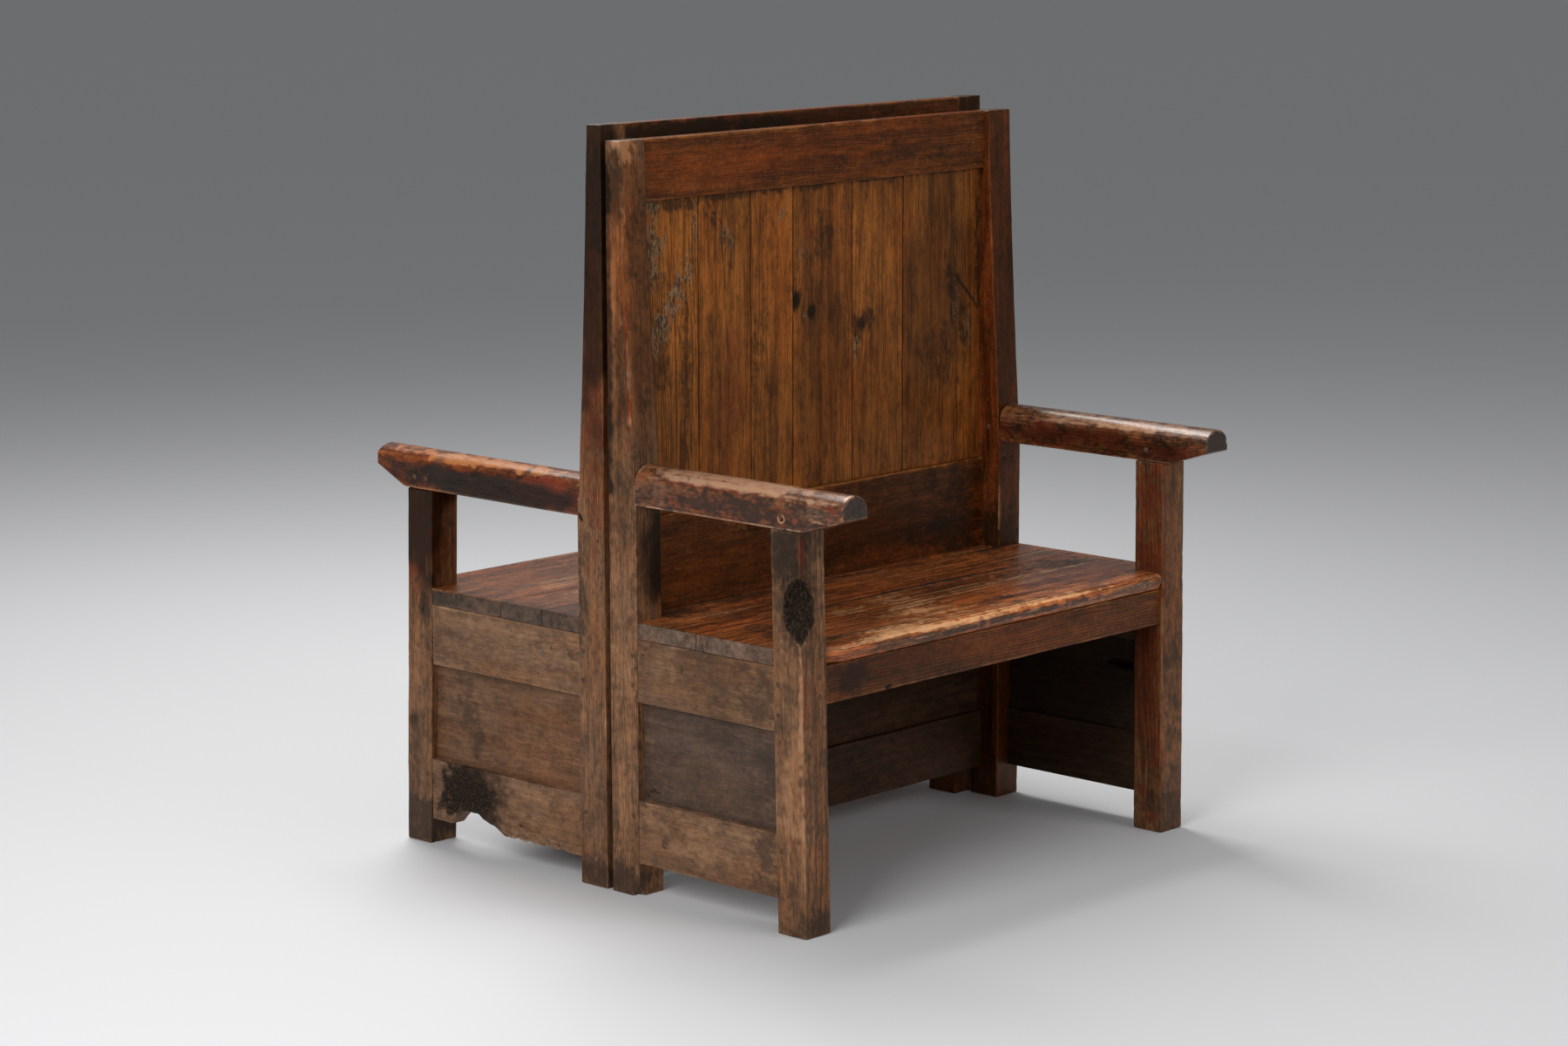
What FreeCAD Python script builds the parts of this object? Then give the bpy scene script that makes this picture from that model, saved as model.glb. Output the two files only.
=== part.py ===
import FreeCAD, Part
import math
import os

# A pair of oak settles of pegged frame-and-panel work, standing back to back.
#
# Settle A faces -Y and settle B faces +Y. Left is the -X end and right the +X end of both.
# Each settle is laid out in its own frame: x from its left end, y forward from the rear face
# of its posts and z up from the floor. It is then turned and set down in the pair's frame.
# All sizes are in millimetres.

V = FreeCAD.Vector

# Settle A: overall sizes
A_LENGTH = 940.0
A_DEPTH = 424.0
A_HEIGHT = 1200.0
A_SEAT_HEIGHT = 447.0
A_SEAT_OVERHANG = 6.0
A_ARM_UNDERSIDE = 632.0
A_ARM_SIDE_HEIGHT = 48.0
A_ARM_CROWN = 16.0
A_ARM_OVERHANG = 89.0
A_ARM_NOSE_RISE = 26.0
A_RAKE_LEFT = 14.0
A_RAKE_RIGHT = 6.0
A_REAR_SEAT_JOINT = 190.0
A_FRONT_SEAT_JOINT = 362.0
A_BOARD_WIDTHS = [135.0, 121.0, 100.0, 144.0, 127.0]
A_ARM_PEG_STEPS = [-8.0]
A_RAIL_DROP = 0.0

# Settle B: overall sizes
B_LENGTH = 910.0
B_DEPTH = 483.0
B_HEIGHT = 1223.0
B_SEAT_HEIGHT = 438.0
B_SEAT_OVERHANG = 13.0
B_ARM_UNDERSIDE = 601.0
B_ARM_SIDE_HEIGHT = 52.0
B_ARM_CROWN = 13.0
B_ARM_OVERHANG = 76.0
B_ARM_NOSE_RISE = 33.0
B_RAKE_LEFT = 17.0
B_RAKE_RIGHT = 12.0
B_REAR_SEAT_JOINT = 147.0
B_FRONT_SEAT_JOINT = 244.0
B_BOARD_WIDTHS = [128.0, 142.0, 112.0, 150.0, 118.0]
B_ARM_PEG_STEPS = [12.0, -16.0]
B_RAIL_DROP = 12.0

# Space between the rear faces of the two settles
BACK_GAP = 10.4

# Legs and posts
LEG_WIDTH = 58.0
LEG_DEPTH = 60.0
POST_WIDTH = 57.0
POST_DEPTH = 61.0
POST_MID_DEPTH = 43.0
POST_TOP_DEPTH = 31.0

# Arms
ARM_WIDTH = 57.0
ARM_CORNER_AHEAD = 8.0
ARM_NOSE_ROUND = 5.0

# Seat and the rail under its front edge
SEAT_THICKNESS = 28.0
SEAT_END_INSET = 1.0
SEAT_NOSE_TOP_ROUND = 13.0
SEAT_NOSE_UNDER_ROUND = 6.0
SEAT_TONGUE = 8.0
APRON_HEIGHT = 60.0
APRON_THICKNESS = 26.0
APRON_INSET = 10.0
BEARER_HEIGHT = 30.0
BEARER_DEPTH = 25.0

# Side frames
SIDE_RAIL_THICKNESS = 26.0
SIDE_RAIL_INSET = 2.0
UPPER_RAIL_HEIGHT = 102.0
LOWER_RAIL_HEIGHT = 103.0
SIDE_RAIL_CLEARANCE = 55.0
SIDE_PANEL_THICKNESS = 10.0
SIDE_PANEL_RECESS = 12.0

# Burnt and worn arch in the underside of settle B's left lower rail
ARCH_REAR = 243.0
ARCH_REAR_RUN = 87.0
ARCH_FRONT_RUN = 44.0
ARCH_HEIGHT = 30.0
ARCH_SWELL = 5.0

# Backs
BACK_RAIL_THICKNESS = 22.5
BACK_RAIL_INSET = 1.0
TOP_RAIL_HEIGHT = 98.0
MID_RAIL_ABOVE_SEAT = 154.0
MID_RAIL_BELOW_SEAT = 39.0
BOTTOM_RAIL_HEIGHT = 102.0
BOTTOM_RAIL_CLEARANCE = 50.0
BOARD_THICKNESS = 9.0
BOARD_REAR = 5.0
BOARD_TONGUE = 5.0
BOARD_TONGUE_THICKNESS = 3.0
BOARD_JOINT = 0.8

# Joints
TENON_LENGTH = 34.0
TENON_THICKNESS = 12.0
BACK_TENON_THICKNESS = 9.0
GROOVE_DEPTH = 10.0
TENON_SHOULDER = 15.0
APRON_TENON_SHOULDER = 8.0
ARM_TENON_WIDTH = 16.0
ARM_TENON_SHOULDER = 8.0
LEG_TENON_LENGTH = 34.0
LEG_TENON_SHOULDER = 9.0
FIT = 0.3
END_ROOM = 2.0

# Two places nearer than this are the same place
SAME = 1e-6

# Pegs, hewn with eight sides
PEG_SIDES = 8
PEG_WIDTH = 9.0
PEG_FIT = 0.15
PEG_SET = 0.5
PEG_FROM_SHOULDER = 10.0
PEG_FROM_RAIL_EDGE = 27.0
BLIND_PEG_LENGTH = 40.0
BACK_PEG_LENGTH = 22.0
ARM_PEG_RISE = 20.0


def box(low, high):
    """A rectangular block between two opposite corners."""
    size = [high[i] - low[i] for i in range(3)]
    return Part.makeBox(size[0], size[1], size[2], V(*low))


def side_plate(outline, x_low, x_high):
    """A plate whose outline is a list of (y, z) points, spread from x_low to x_high."""
    points = [V(x_low, y, z) for y, z in outline]
    wire = Part.makePolygon(points + [points[0]])
    return Part.Face(wire).extrude(V(x_high - x_low, 0, 0))


def one_solid(shape):
    """The shape with its split faces merged, as a single solid."""
    merged = shape.removeSplitter()
    if len(merged.Solids) != 1:
        raise ValueError("a piece came apart into %d solids" % len(merged.Solids))
    return merged.Solids[0]


def peg(start, direction, length, width):
    """An eight-sided peg, measured across its flats, from start along direction."""
    radius = width / 2 / math.cos(math.pi / PEG_SIDES)
    axis = V(*direction)
    across = V(0, 0, 1)
    beside = axis.cross(across)
    corners = []
    for i in range(PEG_SIDES):
        angle = 2 * math.pi * (i + 0.5) / PEG_SIDES
        corners.append(V(*start) + across * (radius * math.sin(angle)) + beside * (radius * math.cos(angle)))
    wire = Part.makePolygon(corners + [corners[0]])
    return Part.Face(wire).extrude(axis * length)


class ArmSizes:
    """The sizes of an arm: its upright side, its crown, and its nose in front of the leg."""

    def __init__(self, side_height, crown, overhang, nose_rise):
        self.side_height = side_height
        self.crown = crown
        self.overhang = overhang
        self.nose_rise = nose_rise


class Settle:
    """One settle, with its pieces kept by name and its pegs in a list."""

    def __init__(self, name, length, depth, height, seat_height, seat_overhang, arm_underside,
                 arm, rakes, seat_joints, board_widths, arm_peg_steps, rail_drop):
        self.name = name
        self.length = length
        self.depth = depth
        self.height = height
        self.seat_top = seat_height
        self.seat_under = seat_height - SEAT_THICKNESS
        self.seat_front = depth - APRON_INSET + seat_overhang
        self.arm_underside = arm_underside
        self.arm = arm
        self.rakes = rakes
        self.seat_joints = seat_joints
        self.board_widths = board_widths
        self.arm_peg_steps = arm_peg_steps
        self.rail_drop = rail_drop
        self.pieces = {}
        self.pegs = []

    def ends(self):
        """Each end's name, with a function that gives x for a distance in from that end."""
        return [("left", lambda inward: inward), ("right", lambda inward: self.length - inward)]

    def leg_rear(self, end, z):
        """Where the rear face of a front leg is at height z: the legs lean back as they rise."""
        return self.depth - LEG_DEPTH - self.rakes[end] * z / self.arm_underside

    def leg_blank(self, end, x_of):
        """A front leg before its joints are cut."""
        rake = self.rakes[end]
        top = self.arm_underside
        rear = self.depth - LEG_DEPTH
        outline = [(rear, 0), (self.depth, 0), (self.depth - rake, top), (rear - rake, top)]
        return side_plate(outline, *sorted([x_of(0), x_of(LEG_WIDTH)]))

    def post_blank(self, x_of):
        """A rear post, upright behind and hollowed back in front from the arm to the top."""
        x_low = min(x_of(0), x_of(POST_WIDTH))
        taper_start = self.arm_underside
        middle = (taper_start + self.height) / 2
        corners = [V(x_low, 0, self.height), V(x_low, 0, 0), V(x_low, POST_DEPTH, 0),
                   V(x_low, POST_DEPTH, taper_start)]
        top_front = V(x_low, POST_TOP_DEPTH, self.height)
        edges = [Part.LineSegment(corners[i], corners[i + 1]).toShape() for i in range(3)]
        edges.append(Part.Arc(corners[3], V(x_low, POST_MID_DEPTH, middle), top_front).toShape())
        edges.append(Part.LineSegment(top_front, corners[0]).toShape())
        return Part.Face(Part.Wire(edges)).extrude(V(POST_WIDTH, 0, 0))

    def house(self, tongue, *receivers, room=(FIT, FIT, FIT)):
        """Cut the housing of a tenon, tongue or panel into each piece that receives it."""
        for name in receivers:
            self.pieces[name] = self.pieces[name].cut(grown(tongue, room))

    def add_peg(self, start, direction, length, *through):
        """Drive a peg, and bore every piece that it goes through."""
        self.pegs.append(peg(start, direction, length, PEG_WIDTH))
        step = V(*direction)
        bore_start = V(*start) - step * (PEG_SET * 2)
        bore = peg(bore_start, direction, length + PEG_SET * 4, PEG_WIDTH + 2 * PEG_FIT)
        for name in through:
            self.pieces[name] = self.pieces[name].cut(bore)

    def build(self):
        """Make every piece, then joint and peg the frame together."""
        self.make_uprights()
        self.make_side_frames()
        self.make_back()
        self.make_apron()
        self.make_arms()
        self.make_seat()
        self.drive_pegs()

    def make_uprights(self):
        """The front legs, each with a tenon for its arm, and the rear posts."""
        for end, x_of in self.ends():
            self.pieces["rear_post_" + end] = self.post_blank(x_of)
            self.pieces["front_leg_" + end] = self.leg_blank(end, x_of)

    def make_side_frames(self):
        """Upper rail, panel and lower rail between the leg and the post at each end."""
        for end, x_of in self.ends():
            leg = "front_leg_" + end
            post = "rear_post_" + end
            outer = x_of(SIDE_RAIL_INSET)
            inner = x_of(SIDE_RAIL_INSET + SIDE_RAIL_THICKNESS)
            upper_top = self.seat_under
            upper_low = upper_top - UPPER_RAIL_HEIGHT
            lower_low = SIDE_RAIL_CLEARANCE - self.rail_drop
            lower_top = lower_low + LOWER_RAIL_HEIGHT
            levels = {"side_upper_rail_": (upper_low, upper_top), "side_lower_rail_": (lower_low, lower_top)}
            for rail, (low, top) in levels.items():
                outline = [(POST_DEPTH, low), (self.leg_rear(end, low), low),
                           (self.leg_rear(end, top), top), (POST_DEPTH, top)]
                body = side_plate(outline, *sorted([outer, inner]))
                self.pieces[rail + end] = self.tenon_side_rail(end, x_of, body, low, top)
            self.pieces["side_panel_" + end] = self.side_panel(end, x_of, lower_top, upper_low, -FIT)
            groove = self.side_panel(end, x_of, lower_top, upper_low, FIT)
            for name in (leg, post, "side_upper_rail_" + end, "side_lower_rail_" + end):
                self.pieces[name] = self.pieces[name].cut(groove)

    def side_panel(self, end, x_of, lower_top, upper_low, ease):
        """The panel between the side rails, set into its grooves and eased all round."""
        edge = GROOVE_DEPTH + ease
        outline = [(POST_DEPTH - edge, lower_top - edge),
                   (self.leg_rear(end, lower_top) + edge, lower_top - edge),
                   (self.leg_rear(end, upper_low) + edge, upper_low + edge),
                   (POST_DEPTH - edge, upper_low + edge)]
        face = SIDE_RAIL_INSET + SIDE_PANEL_RECESS
        cheek_ease = max(ease, 0)
        faces = sorted([x_of(face - cheek_ease), x_of(face + SIDE_PANEL_THICKNESS + cheek_ease)])
        return side_plate(outline, *faces)

    def tenon_side_rail(self, end, x_of, body, low, top):
        """Give a side rail its two tenons, and mortise the leg and the post for them."""
        cheek = SIDE_RAIL_INSET + (SIDE_RAIL_THICKNESS - TENON_THICKNESS) / 2
        x_low, x_high = sorted([x_of(cheek), x_of(cheek + TENON_THICKNESS)])
        tenon_low = low + TENON_SHOULDER
        tenon_top = top - TENON_SHOULDER
        middle = (POST_DEPTH + self.leg_rear(end, top)) / 2
        rear_end = POST_DEPTH - TENON_LENGTH
        front_end = self.leg_rear(end, top) + TENON_LENGTH
        rear_tenon = box((x_low, rear_end, tenon_low), (x_high, middle, tenon_top))
        front_tenon = box((x_low, middle, tenon_low), (x_high, front_end, tenon_top))
        self.house(rear_tenon, "rear_post_" + end, room=(FIT, END_ROOM, FIT))
        self.house(front_tenon, "front_leg_" + end, room=(FIT, END_ROOM, FIT))
        return body.fuse([rear_tenon, front_tenon])

    def back_rail(self, name, low, top):
        """A rail across the back, tenoned into both posts."""
        y_low = BACK_RAIL_INSET
        y_high = BACK_RAIL_INSET + BACK_RAIL_THICKNESS
        body = box((POST_WIDTH, y_low, low), (self.length - POST_WIDTH, y_high, top))
        cheek = y_low + (BACK_RAIL_THICKNESS - BACK_TENON_THICKNESS) / 2
        tenons = box((POST_WIDTH - TENON_LENGTH, cheek, low + TENON_SHOULDER),
                     (self.length - POST_WIDTH + TENON_LENGTH, cheek + BACK_TENON_THICKNESS, top - TENON_SHOULDER))
        self.pieces[name] = body.fuse(tenons)
        self.house(tenons, "rear_post_left", "rear_post_right", room=(END_ROOM, FIT, FIT))

    def make_back(self):
        """Three rails across the back, upright boards above the seat and one wide board below."""
        mid_low = self.seat_top - MID_RAIL_BELOW_SEAT - SEAT_THICKNESS
        mid_top = self.seat_top + MID_RAIL_ABOVE_SEAT
        top_low = self.height - TOP_RAIL_HEIGHT
        bottom_low = BOTTOM_RAIL_CLEARANCE - self.rail_drop
        bottom_top = bottom_low + BOTTOM_RAIL_HEIGHT
        self.back_rail("back_top_rail", top_low, self.height)
        self.back_rail("back_mid_rail", mid_low, mid_top)
        self.back_rail("back_bottom_rail", bottom_low, bottom_top)
        posts = ["rear_post_left", "rear_post_right"]
        inset = GROOVE_DEPTH - FIT
        lower = box((POST_WIDTH - inset, BOARD_REAR, bottom_top - inset),
                    (self.length - POST_WIDTH + inset, BOARD_REAR + BOARD_THICKNESS, mid_low + inset))
        self.pieces["back_lower_board"] = lower
        self.house(lower, "back_mid_rail", "back_bottom_rail", *posts)
        low = mid_top - inset
        top = top_low + inset
        whole = box((POST_WIDTH - inset, BOARD_REAR, low),
                    (self.length - POST_WIDTH + inset, BOARD_REAR + BOARD_THICKNESS, top))
        self.house(whole, "back_mid_rail", "back_top_rail", *posts)
        self.make_back_boards(low, top, inset)

    def make_back_boards(self, low, top, inset):
        """Upright boards with a thin tongue on one edge that enters the next board."""
        joints = [POST_WIDTH]
        for width in self.board_widths:
            joints.append(joints[-1] + width)
        joints.append(self.length - POST_WIDTH)
        count = len(joints) - 1
        y_high = BOARD_REAR + BOARD_THICKNESS
        tongue_low = BOARD_REAR + (BOARD_THICKNESS - BOARD_TONGUE_THICKNESS) / 2
        tongue_high = tongue_low + BOARD_TONGUE_THICKNESS
        for i in range(count):
            x_low = joints[i] + BOARD_JOINT / 2 if i > 0 else joints[i] - inset
            x_high = joints[i + 1] - BOARD_JOINT / 2 if i < count - 1 else joints[i + 1] + inset
            board = box((x_low, BOARD_REAR, low), (x_high, y_high, top))
            if i < count - 1:
                tongue = box((x_high, tongue_low, low), (x_high + BOARD_TONGUE, tongue_high, top))
                board = board.fuse(tongue)
            if i > 0:
                entering = box((x_low - BOARD_JOINT, tongue_low, low),
                               (x_low - BOARD_JOINT + BOARD_TONGUE, tongue_high, top))
                board = board.cut(grown(entering, (FIT, FIT, FIT)))
            self.pieces["back_board_%d" % (i + 1)] = board

    def make_apron(self):
        """The rail under the seat's front edge, tenoned into both legs."""
        front = self.depth - APRON_INSET
        rear = front - APRON_THICKNESS
        low = self.seat_under - APRON_HEIGHT
        body = box((LEG_WIDTH, rear, low), (self.length - LEG_WIDTH, front, self.seat_under))
        cheek = rear + (APRON_THICKNESS - TENON_THICKNESS) / 2
        tenons = box((LEG_WIDTH - TENON_LENGTH, cheek, low + APRON_TENON_SHOULDER),
                     (self.length - LEG_WIDTH + TENON_LENGTH, cheek + TENON_THICKNESS,
                      self.seat_under - APRON_TENON_SHOULDER))
        self.pieces["seat_apron"] = body.fuse(tenons)
        self.house(tenons, "front_leg_left", "front_leg_right", room=(END_ROOM, FIT, FIT))
        bearer_rear = BACK_RAIL_INSET + BACK_RAIL_THICKNESS
        self.pieces["seat_bearer"] = box((POST_WIDTH, bearer_rear, self.seat_under - BEARER_HEIGHT),
                                         (self.length - POST_WIDTH, bearer_rear + BEARER_DEPTH, self.seat_under))

    def arm_section(self, x_low, y_low, y_high):
        """A length of arm with upright sides and a crowned top."""
        under = self.arm_underside
        side_top = under + self.arm.side_height
        x_high = x_low + ARM_WIDTH
        base = [V(x_low, y_low, side_top), V(x_low, y_low, under),
                V(x_high, y_low, under), V(x_high, y_low, side_top)]
        edges = [Part.LineSegment(base[i], base[i + 1]).toShape() for i in range(3)]
        crown = V((x_low + x_high) / 2, y_low, side_top + self.arm.crown)
        edges.append(Part.Arc(base[3], crown, base[0]).toShape())
        return Part.Face(Part.Wire(edges)).extrude(V(0, y_high - y_low, 0))

    def make_arms(self):
        """Arms tenoned into the posts, over tenons on the legs, with an undercut nose in front."""
        under = self.arm_underside
        top = under + self.arm.side_height + self.arm.crown
        for end, x_of in self.ends():
            leg = "front_leg_" + end
            post = "rear_post_" + end
            leg_rear = self.leg_rear(end, under)
            leg_front = leg_rear + LEG_DEPTH
            nose = leg_front + self.arm.overhang
            corner = leg_front + ARM_CORNER_AHEAD
            x_low, x_high = sorted([x_of(0), x_of(ARM_WIDTH)])
            rear = POST_TOP_DEPTH
            profile = side_plate([(rear, under), (corner, under), (nose, under + self.arm.nose_rise),
                                  (nose, top - ARM_NOSE_ROUND), (nose - ARM_NOSE_ROUND, top), (rear, top)],
                                 x_low, x_high)
            arm = self.arm_section(x_low, rear, nose).common(profile).cut(self.post_blank(x_of))
            middle = x_of(ARM_WIDTH / 2)
            tenon = box((middle - ARM_TENON_WIDTH / 2, POST_DEPTH - TENON_LENGTH, under + ARM_TENON_SHOULDER),
                        (middle + ARM_TENON_WIDTH / 2, POST_DEPTH + ARM_TENON_SHOULDER,
                         under + self.arm.side_height - ARM_TENON_SHOULDER))
            self.house(tenon, post, room=(FIT, END_ROOM, FIT))
            leg_tenon = box((middle - ARM_TENON_WIDTH / 2, leg_rear + LEG_TENON_SHOULDER, under - LEG_TENON_LENGTH),
                            (middle + ARM_TENON_WIDTH / 2, leg_front - LEG_TENON_SHOULDER,
                             under + LEG_TENON_LENGTH))
            self.pieces[leg] = self.pieces[leg].fuse(leg_tenon)
            self.pieces["arm_" + end] = arm.fuse(tenon)
            self.house(leg_tenon, "arm_" + end, room=(FIT, FIT, END_ROOM))

    def clear_uprights(self, board):
        """Notch a seat board round the posts and round the legs, with a close fit."""
        for end, x_of in self.ends():
            x_low, x_high = sorted([x_of(-FIT), x_of(POST_WIDTH + FIT)])
            board = board.cut(box((x_low, -FIT, 0), (x_high, POST_DEPTH + FIT, self.height)))
            x_low, x_high = sorted([x_of(-FIT), x_of(LEG_WIDTH + FIT)])
            past_nose = self.seat_front + END_ROOM
            notch = [(self.leg_rear(end, self.seat_under) - FIT, self.seat_under),
                     (past_nose, self.seat_under), (past_nose, self.seat_top),
                     (self.leg_rear(end, self.seat_top) - FIT, self.seat_top)]
            board = board.cut(side_plate(notch, x_low, x_high))
        return board

    def make_seat(self):
        """Three boards tongued together, the front one with a rounded nose."""
        names = ["seat_rear_board", "seat_middle_board", "seat_front_board"]
        rail_face = BACK_RAIL_INSET + BACK_RAIL_THICKNESS + FIT
        edges = [rail_face] + self.seat_joints + [self.seat_front]
        middle = (self.seat_under + self.seat_top) / 2
        x_low = SEAT_END_INSET
        x_high = self.length - SEAT_END_INSET
        for i, name in enumerate(names):
            board = box((x_low, edges[i], self.seat_under), (x_high, edges[i + 1], self.seat_top))
            if i == len(names) - 1:
                board = self.round_nose(board)
            board = self.clear_uprights(board)
            if i < len(names) - 1:
                tongue = box((x_low, edges[i + 1] - SEAT_TONGUE, middle - SEAT_TONGUE / 2),
                             (x_high, edges[i + 1] + SEAT_TONGUE, middle + SEAT_TONGUE / 2))
                board = board.fuse(self.clear_uprights(tongue))
            self.pieces[name] = board
        for joint, receiver in zip(self.seat_joints, names[1:]):
            groove = box((-FIT, joint - FIT, middle - SEAT_TONGUE / 2 - FIT),
                         (self.length + FIT, joint + SEAT_TONGUE + FIT, middle + SEAT_TONGUE / 2 + FIT))
            self.pieces[receiver] = self.pieces[receiver].cut(groove)

    def round_nose(self, board):
        """Round the front edge of the seat, more above than below."""
        for height, radius in ((self.seat_top, SEAT_NOSE_TOP_ROUND), (self.seat_under, SEAT_NOSE_UNDER_ROUND)):
            front = [edge for edge in board.Edges
                     if all(abs(v.Y - self.seat_front) < SAME and abs(v.Z - height) < SAME for v in edge.Vertexes)]
            board = board.makeFillet(radius, front)
        return board

    def drive_pegs(self):
        """Pegs through every tenon: from the outer faces, the front of the legs and behind."""
        through_arm = ARM_WIDTH - 2 * PEG_SET
        apron_low = self.seat_under - APRON_HEIGHT
        for end, x_of in self.ends():
            leg = "front_leg_" + end
            post = "rear_post_" + end
            arm = "arm_" + end
            inward = (1, 0, 0) if end == "left" else (-1, 0, 0)
            face = x_of(PEG_SET)
            under = self.arm_underside
            leg_middle = self.leg_rear(end, under) + LEG_DEPTH / 2
            for step in self.arm_peg_steps:
                self.add_peg((face, leg_middle + step, under + ARM_PEG_RISE), inward, through_arm, arm, leg)
            post_middle = POST_DEPTH - TENON_LENGTH / 2 - ARM_TENON_SHOULDER
            self.add_peg((face, post_middle, under + self.arm.side_height / 2), inward, through_arm, post, arm)
            self.peg_side_rails(end, face, inward)
            apron_x = x_of(LEG_WIDTH - TENON_LENGTH / 2)
            for z in (apron_low + APRON_HEIGHT / 4, apron_low + 3 * APRON_HEIGHT / 4):
                start = self.leg_rear(end, z) + LEG_DEPTH - PEG_SET
                self.add_peg((apron_x, start, z), (0, -1, 0), BLIND_PEG_LENGTH, leg, "seat_apron")
            self.peg_back_rails(post, x_of)

    def peg_side_rails(self, end, face, inward):
        """Pegs through the tenons of the side rails, two in the upper rail and one in the lower."""
        upper_top = self.seat_under
        upper_low = upper_top - UPPER_RAIL_HEIGHT
        lower_top = SIDE_RAIL_CLEARANCE - self.rail_drop + LOWER_RAIL_HEIGHT
        places = [("side_upper_rail_" + end, upper_top - PEG_FROM_RAIL_EDGE),
                  ("side_upper_rail_" + end, upper_low + PEG_FROM_RAIL_EDGE),
                  ("side_lower_rail_" + end, lower_top - PEG_FROM_RAIL_EDGE)]
        for rail, z in places:
            rear = POST_DEPTH - PEG_FROM_SHOULDER
            front = self.leg_rear(end, z) + PEG_FROM_SHOULDER
            self.add_peg((face, rear, z), inward, BLIND_PEG_LENGTH, "rear_post_" + end, rail)
            self.add_peg((face, front, z), inward, BLIND_PEG_LENGTH, "front_leg_" + end, rail)

    def peg_back_rails(self, post, x_of):
        """Blind pegs from behind through the tenons of the back rails."""
        mid_low = self.seat_top - MID_RAIL_BELOW_SEAT - SEAT_THICKNESS
        bottom_low = BOTTOM_RAIL_CLEARANCE - self.rail_drop
        places = [("back_top_rail", self.height - TOP_RAIL_HEIGHT / 2),
                  ("back_mid_rail", mid_low + PEG_FROM_RAIL_EDGE),
                  ("back_mid_rail", self.seat_top + MID_RAIL_ABOVE_SEAT - PEG_FROM_RAIL_EDGE),
                  ("back_bottom_rail", bottom_low + BOTTOM_RAIL_HEIGHT / 2)]
        for rail, z in places:
            x = x_of(POST_WIDTH - TENON_LENGTH / 2)
            self.add_peg((x, PEG_SET, z), (0, 1, 0), BACK_PEG_LENGTH, post, rail)

    def cut_arch(self):
        """The worn and burnt arch in the underside of the left lower side rail."""
        low = SIDE_RAIL_CLEARANCE - self.rail_drop
        crest_y = ARCH_REAR + ARCH_REAR_RUN
        outside = SIDE_RAIL_INSET - END_ROOM
        start = V(outside, ARCH_REAR, low)
        crest = V(outside, crest_y, low + ARCH_HEIGHT)
        stop = V(outside, crest_y + ARCH_FRONT_RUN, low)
        edges = [Part.LineSegment(stop, start).toShape()]
        for near, far in ((start, crest), (crest, stop)):
            middle = (near + far) / 2 + V(0, 0, ARCH_SWELL)
            edges.append(Part.Arc(near, middle, far).toShape())
        hollow = Part.Face(Part.Wire(edges)).extrude(V(SIDE_RAIL_THICKNESS + 2 * END_ROOM, 0, 0))
        self.pieces["side_lower_rail_left"] = self.pieces["side_lower_rail_left"].cut(hollow)

    def reach(self):
        """How far the longer arm's nose stands in front of the rear face of the posts."""
        return max(self.leg_rear(end, self.arm_underside) for end, _ in self.ends()) + LEG_DEPTH + self.arm.overhang


def grown(block, room):
    """The rectangular block grown by the given room along x, y and z, on both sides."""
    bounds = block.BoundBox
    low = (bounds.XMin - room[0], bounds.YMin - room[1], bounds.ZMin - room[2])
    high = (bounds.XMax + room[0], bounds.YMax + room[1], bounds.ZMax + room[2])
    return box(low, high)


def export(settle, place):
    """Write each piece of a settle, set down in the pair's frame, to its own file."""
    for name, shape in sorted(settle.pieces.items()):
        solid = place(one_solid(shape))
        solid.exportStep("parts/%s_%s.step" % (settle.name, name))
    pegs = Part.makeCompound([place(shape) for shape in settle.pegs])
    pegs.exportStep("parts/%s_pegs.step" % settle.name)


def main():
    """Build both settles and set them back to back, the origin under the middle of the pair."""
    os.makedirs("parts", exist_ok=True)
    settle_a = Settle("settle_a", A_LENGTH, A_DEPTH, A_HEIGHT, A_SEAT_HEIGHT, A_SEAT_OVERHANG, A_ARM_UNDERSIDE,
                      ArmSizes(A_ARM_SIDE_HEIGHT, A_ARM_CROWN, A_ARM_OVERHANG, A_ARM_NOSE_RISE),
                      {"left": A_RAKE_LEFT, "right": A_RAKE_RIGHT},
                      [A_REAR_SEAT_JOINT, A_FRONT_SEAT_JOINT], A_BOARD_WIDTHS, A_ARM_PEG_STEPS, A_RAIL_DROP)
    settle_b = Settle("settle_b", B_LENGTH, B_DEPTH, B_HEIGHT, B_SEAT_HEIGHT, B_SEAT_OVERHANG, B_ARM_UNDERSIDE,
                      ArmSizes(B_ARM_SIDE_HEIGHT, B_ARM_CROWN, B_ARM_OVERHANG, B_ARM_NOSE_RISE),
                      {"left": B_RAKE_LEFT, "right": B_RAKE_RIGHT},
                      [B_REAR_SEAT_JOINT, B_FRONT_SEAT_JOINT], B_BOARD_WIDTHS, B_ARM_PEG_STEPS, B_RAIL_DROP)
    settle_a.build()
    settle_b.build()
    settle_b.cut_arch()

    left_end = -max(A_LENGTH, B_LENGTH) / 2
    gap_middle = (settle_a.reach() - settle_b.reach()) / 2

    def place_a(shape):
        """Settle A faces -Y, so it is mirrored in the plane of its own rear face."""
        facing = shape.mirror(V(0, 0, 0), V(0, 1, 0))
        facing.translate(V(left_end, gap_middle - BACK_GAP / 2, 0))
        return facing

    def place_b(shape):
        """Settle B faces +Y."""
        facing = shape.copy()
        facing.translate(V(left_end, gap_middle + BACK_GAP / 2, 0))
        return facing

    export(settle_a, place_a)
    export(settle_b, place_b)


main()
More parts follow.
